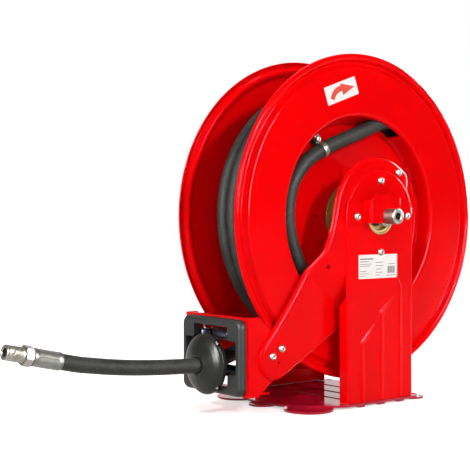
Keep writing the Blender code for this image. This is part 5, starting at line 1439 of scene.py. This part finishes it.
a = np.linspace(0.0, pi / 2, 8)
rows = [frame_loop(0.0, 0.0, BEZEL_BACK)]
rows += [frame_loop(0.0, BEZEL_EDGE * (1 - cos(t)), BEZEL_FRONT + BEZEL_EDGE * (1 - sin(t)))
         for t in a]
rows += [frame_loop(share, BEZEL_EDGE, x) for share, x in (
    (0.3, BEZEL_FRONT), (0.6, BEZEL_FRONT), (0.88, BEZEL_FRONT), (0.96, BEZEL_FRONT),
    (0.99, BEZEL_FRONT + 0.3), (1.0, BEZEL_FRONT + 1.2), (1.0, BEZEL_BACK))]
piece("guide_frame", [grid(np.stack(rows), close_rows=True)], "roller_bezel", sharp=45.0)
print("guide frame made")

# %% [markdown]
# ## Rollers
#
# Two level rollers and two upright ones turn on pins. A roller is a tube with chamfered ends
# and a slight waist in the middle. Its dark finish is a painted reflection of the dark
# surroundings that a roller mirrors.

# %% Rollers and pins
ROLLERS = {"upper": ((-201.0, 0.0, GUIDE_Z + 27.0), (0, 1, 0), 50.0),
           "lower": ((-201.0, 0.0, GUIDE_Z - 27.0), (0, 1, 0), 50.0),
           "front": ((-219.5, -45.0, GUIDE_Z), (0, 0, 1), 34.0),
           "rear": ((-219.5, 45.0, GUIDE_Z), (0, 0, 1), 34.0)}
for word, (centre, axis, half) in ROLLERS.items():
    barrel = [(-half, 3.2), (-half, 7.6), (-half + 3.0, 9.0), (-4.0, 9.0), (-3.0, 8.6), (3.0, 8.6),
              (4.0, 9.0), (half - 3.0, 9.0), (half, 7.6), (half, 3.2)]
    # The dark spring steel on the rollers is a painted reflection of dark surroundings.
    piece("guide_roller_" + word, [turned(rounded(barrel, 0.8), 64, centre, axis)],
          "roller_" + word, finish="spring_steel")
    reach = (71.9, 71.9) if axis[1] else (50.2, 53.2)
    pin = rounded([(-reach[0], 0.0), (-reach[0], 3.0), (reach[1], 3.0), (reach[1], 0.0)], 0.6, 3,
                  closed=False)
    piece("guide_pin_" + word, [turned(pin, 32, centre, axis, hole=False)], "roller_pin_" + word)
print("rollers made")

# %% [markdown]
# ## Spring side
#
# Behind the rear disc sits the spring motor: a case with a rolled rim, a cover with a ring of
# holes, the flat spiral spring, and a ratchet wheel with its pawl. The case and the cover are
# turned. The spring is a strip carried along a spiral, and the wheel is a cut outline.

# %% Case, cover and spring
CASE = ((40.3, 30.0), (40.3, 108.0), (44.3, 112.0), (80.0, 112.0), (80.0, 118.0), (82.0, 118.0),
        (82.0, 110.0), (44.3, 110.0), (42.3, 107.5), (42.3, 30.0))
WINDOW_CIRCLE, COVER_CIRCLE, SIXTHS = 78.0, 110.0, 60.0 * np.arange(6)
piece("spring_case_form", [turned(filled(rounded(CASE, 1.0), 4.0), 160)], "spring_case")

windows = [plug(80.0, 88.0, 6.0, 40, (WINDOW_CIRCLE * cos(a), 0.0, WINDOW_CIRCLE * sin(a)))
           for a in np.radians(45.0 + SIXTHS)]
piece("spring_cover_form", [turned(rounded(ring(82.3, 84.8, 28.0, 118.0), 0.8), 160)],
      "spring_cover", cuts=windows)
head = rounded([(84.85, 0.0), (84.85, 6.2), (85.6, 6.4), (85.6, 5.6), (88.3, 5.6), (88.3, 4.6),
                (88.6, 4.0), (88.6, 0.0)], 0.25, 3, closed=False)
bolts = [turned(head, 48, (COVER_CIRCLE * cos(a), 0.0, COVER_CIRCLE * sin(a)), hole=False,
                shape=lambda along, r, a: np.where(along > 85.7, hexagon(5.6)(along, r, a), r))
         for a in np.radians(15.0 + SIXTHS)]
piece("cover_bolts", bolts, body="drum", slot="zinc_plate")


def spiral_strip(turns, inner, outer, thick, low, high, per_turn=72):
    """Four corners (r -+ thick/2, y low or high) carried along r = inner + (outer - inner) t."""
    t = np.linspace(0.0, 1.0, int(turns * per_turn) + 1)
    a, r = 2 * pi * turns * t, inner + (outer - inner) * t
    rings = [np.stack([(r + dr) * np.cos(a), y + 0.0 * a, (r + dr) * np.sin(a)], -1)
             for dr, y in ((-thick / 2, low), (-thick / 2, high), (thick / 2, high),
                           (thick / 2, low))]
    return grid(np.stack(rings, 1), caps=True, lengths=a * (inner + outer) / 2 * MM)


spring = piece("main_spring_form", [spiral_strip(5.0, 30.0, 107.0, 1.5, 45.0, 78.0)], "main_spring")
soften(spring, 0.3)
print("case, cover and spring made")

# %% [markdown]
# ## Ratchet and pawl
#
# The wheel's outline repeats one tooth 18 times: a long rise and a short drop, with a reach for
# each corner. The pawl and its pin keep their plain shapes, merged and bevelled.

# %% Ratchet wheel and pawl
teeth = 18
share = np.array([0.0, 0.42, 0.86, 0.94])
reach = np.array([41.2, 43.4, 45.9, 45.9])
angle = (np.arange(teeth)[:, None] + share[None, :]).ravel() * 2 * pi / teeth
teeth_line = rounded(np.tile(reach, teeth)[:, None] * circle(angle), 0.5, 2)
wheel = piece("ratchet_form", [loop_prism(teeth_line, 85.1, 91.1, *DEEP)], "ratchet_wheel",
              cuts=[plug(80.0, 96.0, 28.0, 96)])
soften(wheel, 0.5)
soften(settle(copied("pawl"), "pawl"), 0.7)
soften(settle(copied("pawl_pin"), "pawl_pin"), 0.4)
print("spring side made")

# %% [markdown]
# ## Two stickers
#
# A pale sticker with a curved arrow shows the way the drum turns, and a data plate is stuck on
# the front pedestal. Both are thin sheets on top of the metal, with the marks as still thinner
# sheets. The data plate carries ruled lines and blocks only, so it says nothing.

# %% Sticker finishes
for name, colour in (("sticker white", (0.80, 0.76, 0.73)), ("sticker red", (0.72, 0.035, 0.008)),
                     ("sticker ink", (0.06, 0.05, 0.05))):
    ink = Finish(name)
    print_noise = ink.noise(240.0, 3.0)
    faded = tuple(0.9 * c + 0.02 for c in colour)
    ink.surface(base_color=ink.mix(ink.spread(print_noise, 0.3, 0.7), colour, faded),
                roughness=ink.spread(ink.noise(60.0, 3.0), 0.3, 0.7, 0.28, 0.42),
                specular_ior_level=0.3)

# %% [markdown]
# ## Sticker shapes
#
# A sticker lies in a skewed unit square, given by three of its corners on the sheet. Marks are
# outlines in that square: a bow and a point for the arrow, rectangles for lines and bars.

# %% Arrow sticker and data plate
FACING = ((1, 0, 0), (0, 0, 1), (0, -1, 0), (0, 0, 0))


def sheet(outline, y, thick):
    """A thin sheet whose back lies at y and whose face is `thick` nearer the camera."""
    return loop_prism(outline, -y, -y + thick, *FACING)


def line_up(points, corners):
    """Points (u, v) of the unit square in a sticker with corners low-left, low-right, top-left."""
    low_left, low_right, top_left = (np.asarray(c, float) for c in corners)
    points = np.asarray(points, float)
    return low_left + points[:, :1] * (low_right - low_left) + points[:, 1:] * (top_left - low_left)


ARROW_AT = ((-72.2, 165.7), (-8.4, 188.3), (-81.5, 191.9))
arrow_card = line_up(rounded([(0, 0), (1, 0), (1, 1), (0, 1)], 0.05, 4), ARROW_AT)
piece("arrow_sticker", [sheet(arrow_card, -70.05, 0.12)], body="drum", slot="black_plastic",
      finish="sticker white")
bow = np.radians(np.linspace(160.0, 62.0, 30))
band = (0.46, 0.02) + circle(bow) * (0.36, 0.78)
inside = (0.46, 0.02) + circle(bow)[::-1] * (0.24, 0.46)
point = [(0.50, 0.92), (0.92, 0.48), (0.52, 0.24)]
arrow = [sheet(line_up(np.vstack([band, inside]), ARROW_AT), -70.18, 0.06),
         sheet(line_up(point, ARROW_AT), -70.18, 0.08)]
piece("arrow_sign", arrow, body="drum", slot="black_plastic", finish="sticker red")

PLATE_AT = ((-47.1, -93.4), (35.1, -93.4), (-47.1, -57.5))
card = line_up(rounded([(0, 0), (1, 0), (1, 1), (0, 1)], 0.02, 3), PLATE_AT)
piece("data_sticker", [sheet(card, -PEDESTAL_Y - 0.05, 0.12)], body="frame", slot="black_plastic",
      finish="sticker white")
LINES = [(0.04, 0.80, 0.34, 0.045), (0.04, 0.70, 0.22, 0.025), (0.04, 0.60, 0.30, 0.02),
         (0.04, 0.52, 0.26, 0.02), (0.04, 0.30, 0.16, 0.02), (0.04, 0.20, 0.20, 0.02),
         (0.04, 0.10, 0.12, 0.02), (0.44, 0.66, 0.20, 0.02), (0.44, 0.52, 0.20, 0.02),
         (0.44, 0.38, 0.14, 0.02), (0.44, 0.24, 0.17, 0.02), (0.44, 0.12, 0.10, 0.02),
         (0.76, 0.58, 0.18, 0.02), (0.72, 0.10, 0.24, 0.02)]
BARS = [(0.74 + 0.0145 * i, 0.20, 0.0045 + 0.004 * (i * 7 % 3), 0.30) for i in range(14)]
marks = [sheet(line_up([(u, v), (u + w, v), (u + w, v + h), (u, v + h)], PLATE_AT),
               -PEDESTAL_Y - 0.18, 0.05) for u, v, w, h in LINES + BARS]
piece("data_marks", marks, body="frame", slot="black_plastic", finish="sticker ink")
print("two stickers made")

# %% [markdown]
# ## What stays plain
#
# The few solids that no finer surface stands for keep their shape and only take a finish.

# %% Finishes on the plain solids
plain = [node for node, made in frame["nodes"].items() if not made.hide_render]
for node in plain:
    made = frame["nodes"][node]
    if not made.material_slots:
        made.data.materials.append(None)
    for slot in made.material_slots:
        slot.material = FINISHES[SLOT_OF[node]]
print("plain:", ", ".join(plain) or "none")

# %% [markdown]
# ## Floor
#
# The floor is pale and matt, so that it keeps the shadow under the base. A glow that only the
# camera and reflections see takes it to white, in part near the reel and fully far from it.

# %% Floor
FLOOR_GLOW, FLOOR_DROP, FLOOR_HALF = 0.55, -0.0006, 30.0
GLOW_FROM, GLOW_TO = 0.7, 2.0           # metres from the middle

ground = Finish("studio floor")
ray = ground.node("LightPath")
looked_at = ray.out("Is Camera Ray").most(ray.out("Is Glossy Ray"))
looked_at = looked_at.most(ray.out("Is Transmission Ray"))
matt = ground.node("BsdfDiffuse", None, {"Color": (0.86, 0.86, 0.86)})
away = ground.node("VectorMath", {"operation": "LENGTH"}, {0: ground.place()}).out("Value")
far = ground.spread(away, GLOW_FROM, GLOW_TO, FLOOR_GLOW, 1.0)
glow = ground.node("Emission", None, {"Color": (1.0, 1.0, 1.0), "Strength": looked_at * far})
both = ground.node("AddShader", None, {0: matt.out(), 1: glow.out()})
ground.node("OutputMaterial", None, {"Surface": both.out()})


def studio_sheet(name, corners):
    """A flat sheet through four corners, in metres, with its studio finish."""
    mesh = bpy.data.meshes.new(name)
    mesh.from_pydata(corners, [], [(0, 1, 2, 3)])
    mesh.materials.append(FINISHES[name.replace("_", " ")])
    made = linked(name, mesh)


studio_sheet("studio_floor", [(FLOOR_HALF * x, FLOOR_HALF * y, FLOOR_DROP)
                              for x, y in ((-1, -1), (1, -1), (1, 1), (-1, 1))])

# %% [markdown]
# ## Backdrop and world
#
# The backdrop is a white sheet behind the reel, square to the camera's heading. The world
# around it is an even grey, which fills the shadows.

# %% Backdrop and world
WORLD_LIGHT, WALL_DISTANCE, WALL_HALF, WALL_HEIGHT = 0.22, 3.2, 4.0, 4.0
WHITE = (1.0, 1.0, 1.0)

wall = Finish("studio backdrop")
white = wall.node("Emission", None, {"Color": WHITE, "Strength": 1.0})
wall.node("OutputMaterial", None, {"Surface": white.out()})
ahead_x, ahead_y = -sin(radians(HEADING)), cos(radians(HEADING))
studio_sheet("studio_backdrop", [
    (WALL_DISTANCE * ahead_x + s * ahead_y, WALL_DISTANCE * ahead_y - s * ahead_x, z)
    for s, z in ((-WALL_HALF, FLOOR_DROP), (WALL_HALF, FLOOR_DROP), (WALL_HALF, WALL_HEIGHT),
                 (-WALL_HALF, WALL_HEIGHT))])

world = bpy.data.worlds.new("grey studio")
bpy.context.scene.world = world
world.use_nodes = True
air = world.node_tree.nodes["Background"]
air.inputs["Color"].default_value = (*WHITE, 1.0)
air.inputs["Strength"].default_value = WORLD_LIGHT

print("floor, backdrop and world made")

# %% [markdown]
# ## Lamps
#
# Four small lamps stand round the reel and a larger one hangs above it. Enamel shows
# its edges by what it mirrors, so three tall strips are added that reflections alone see. They
# stand clear of the directions that the flat sheets mirror, so only rolled edges catch them.

# %% Lamps
LAMPS = (("front key", (0.1, -2.6, 1.7), 0.22, 42.0), ("left key", (-2.7, -0.2, 1.6), 0.22, 44.0),
         ("camera side", (-1.5, -1.9, 2.4), 0.2, 16.0), ("right rim", (2.3, 0.5, 1.3), 0.25, 34.0),
         ("top", (0.0, 0.4, 2.4), 1.0, 10.0))
REEL_MIDDLE = (-0.02, 0.0, 0.27)


def lamp(name, place, size, power):
    """A square lamp that looks at the middle of the reel."""
    data = bpy.data.lights.new(name, "AREA")
    data.size, data.energy = size, power
    made = linked(name, data)
    made.location = place
    toward = Vector(REEL_MIDDLE) - Vector(place)
    made.rotation_euler = toward.to_track_quat("-Z", "Y").to_euler()
    return made


for row in LAMPS:
    lamp(*row)

STRIPS = (("left strip", (-2.5, -0.3, 1.0)), ("front strip", (0.25, -2.5, 1.0)),
          ("right strip", (2.5, 0.3, 1.0)))
STRIP_WIDTH, STRIP_HEIGHT, STRIP_POWER = 0.8, 1.4, 290.0

for name, place in STRIPS:
    strip = lamp(name, place, STRIP_WIDTH, STRIP_POWER)
    strip.data.shape, strip.data.size_y = "RECTANGLE", STRIP_HEIGHT
    strip.visible_diffuse = False
print(len(LAMPS), "lamps and", len(STRIPS), "strips")
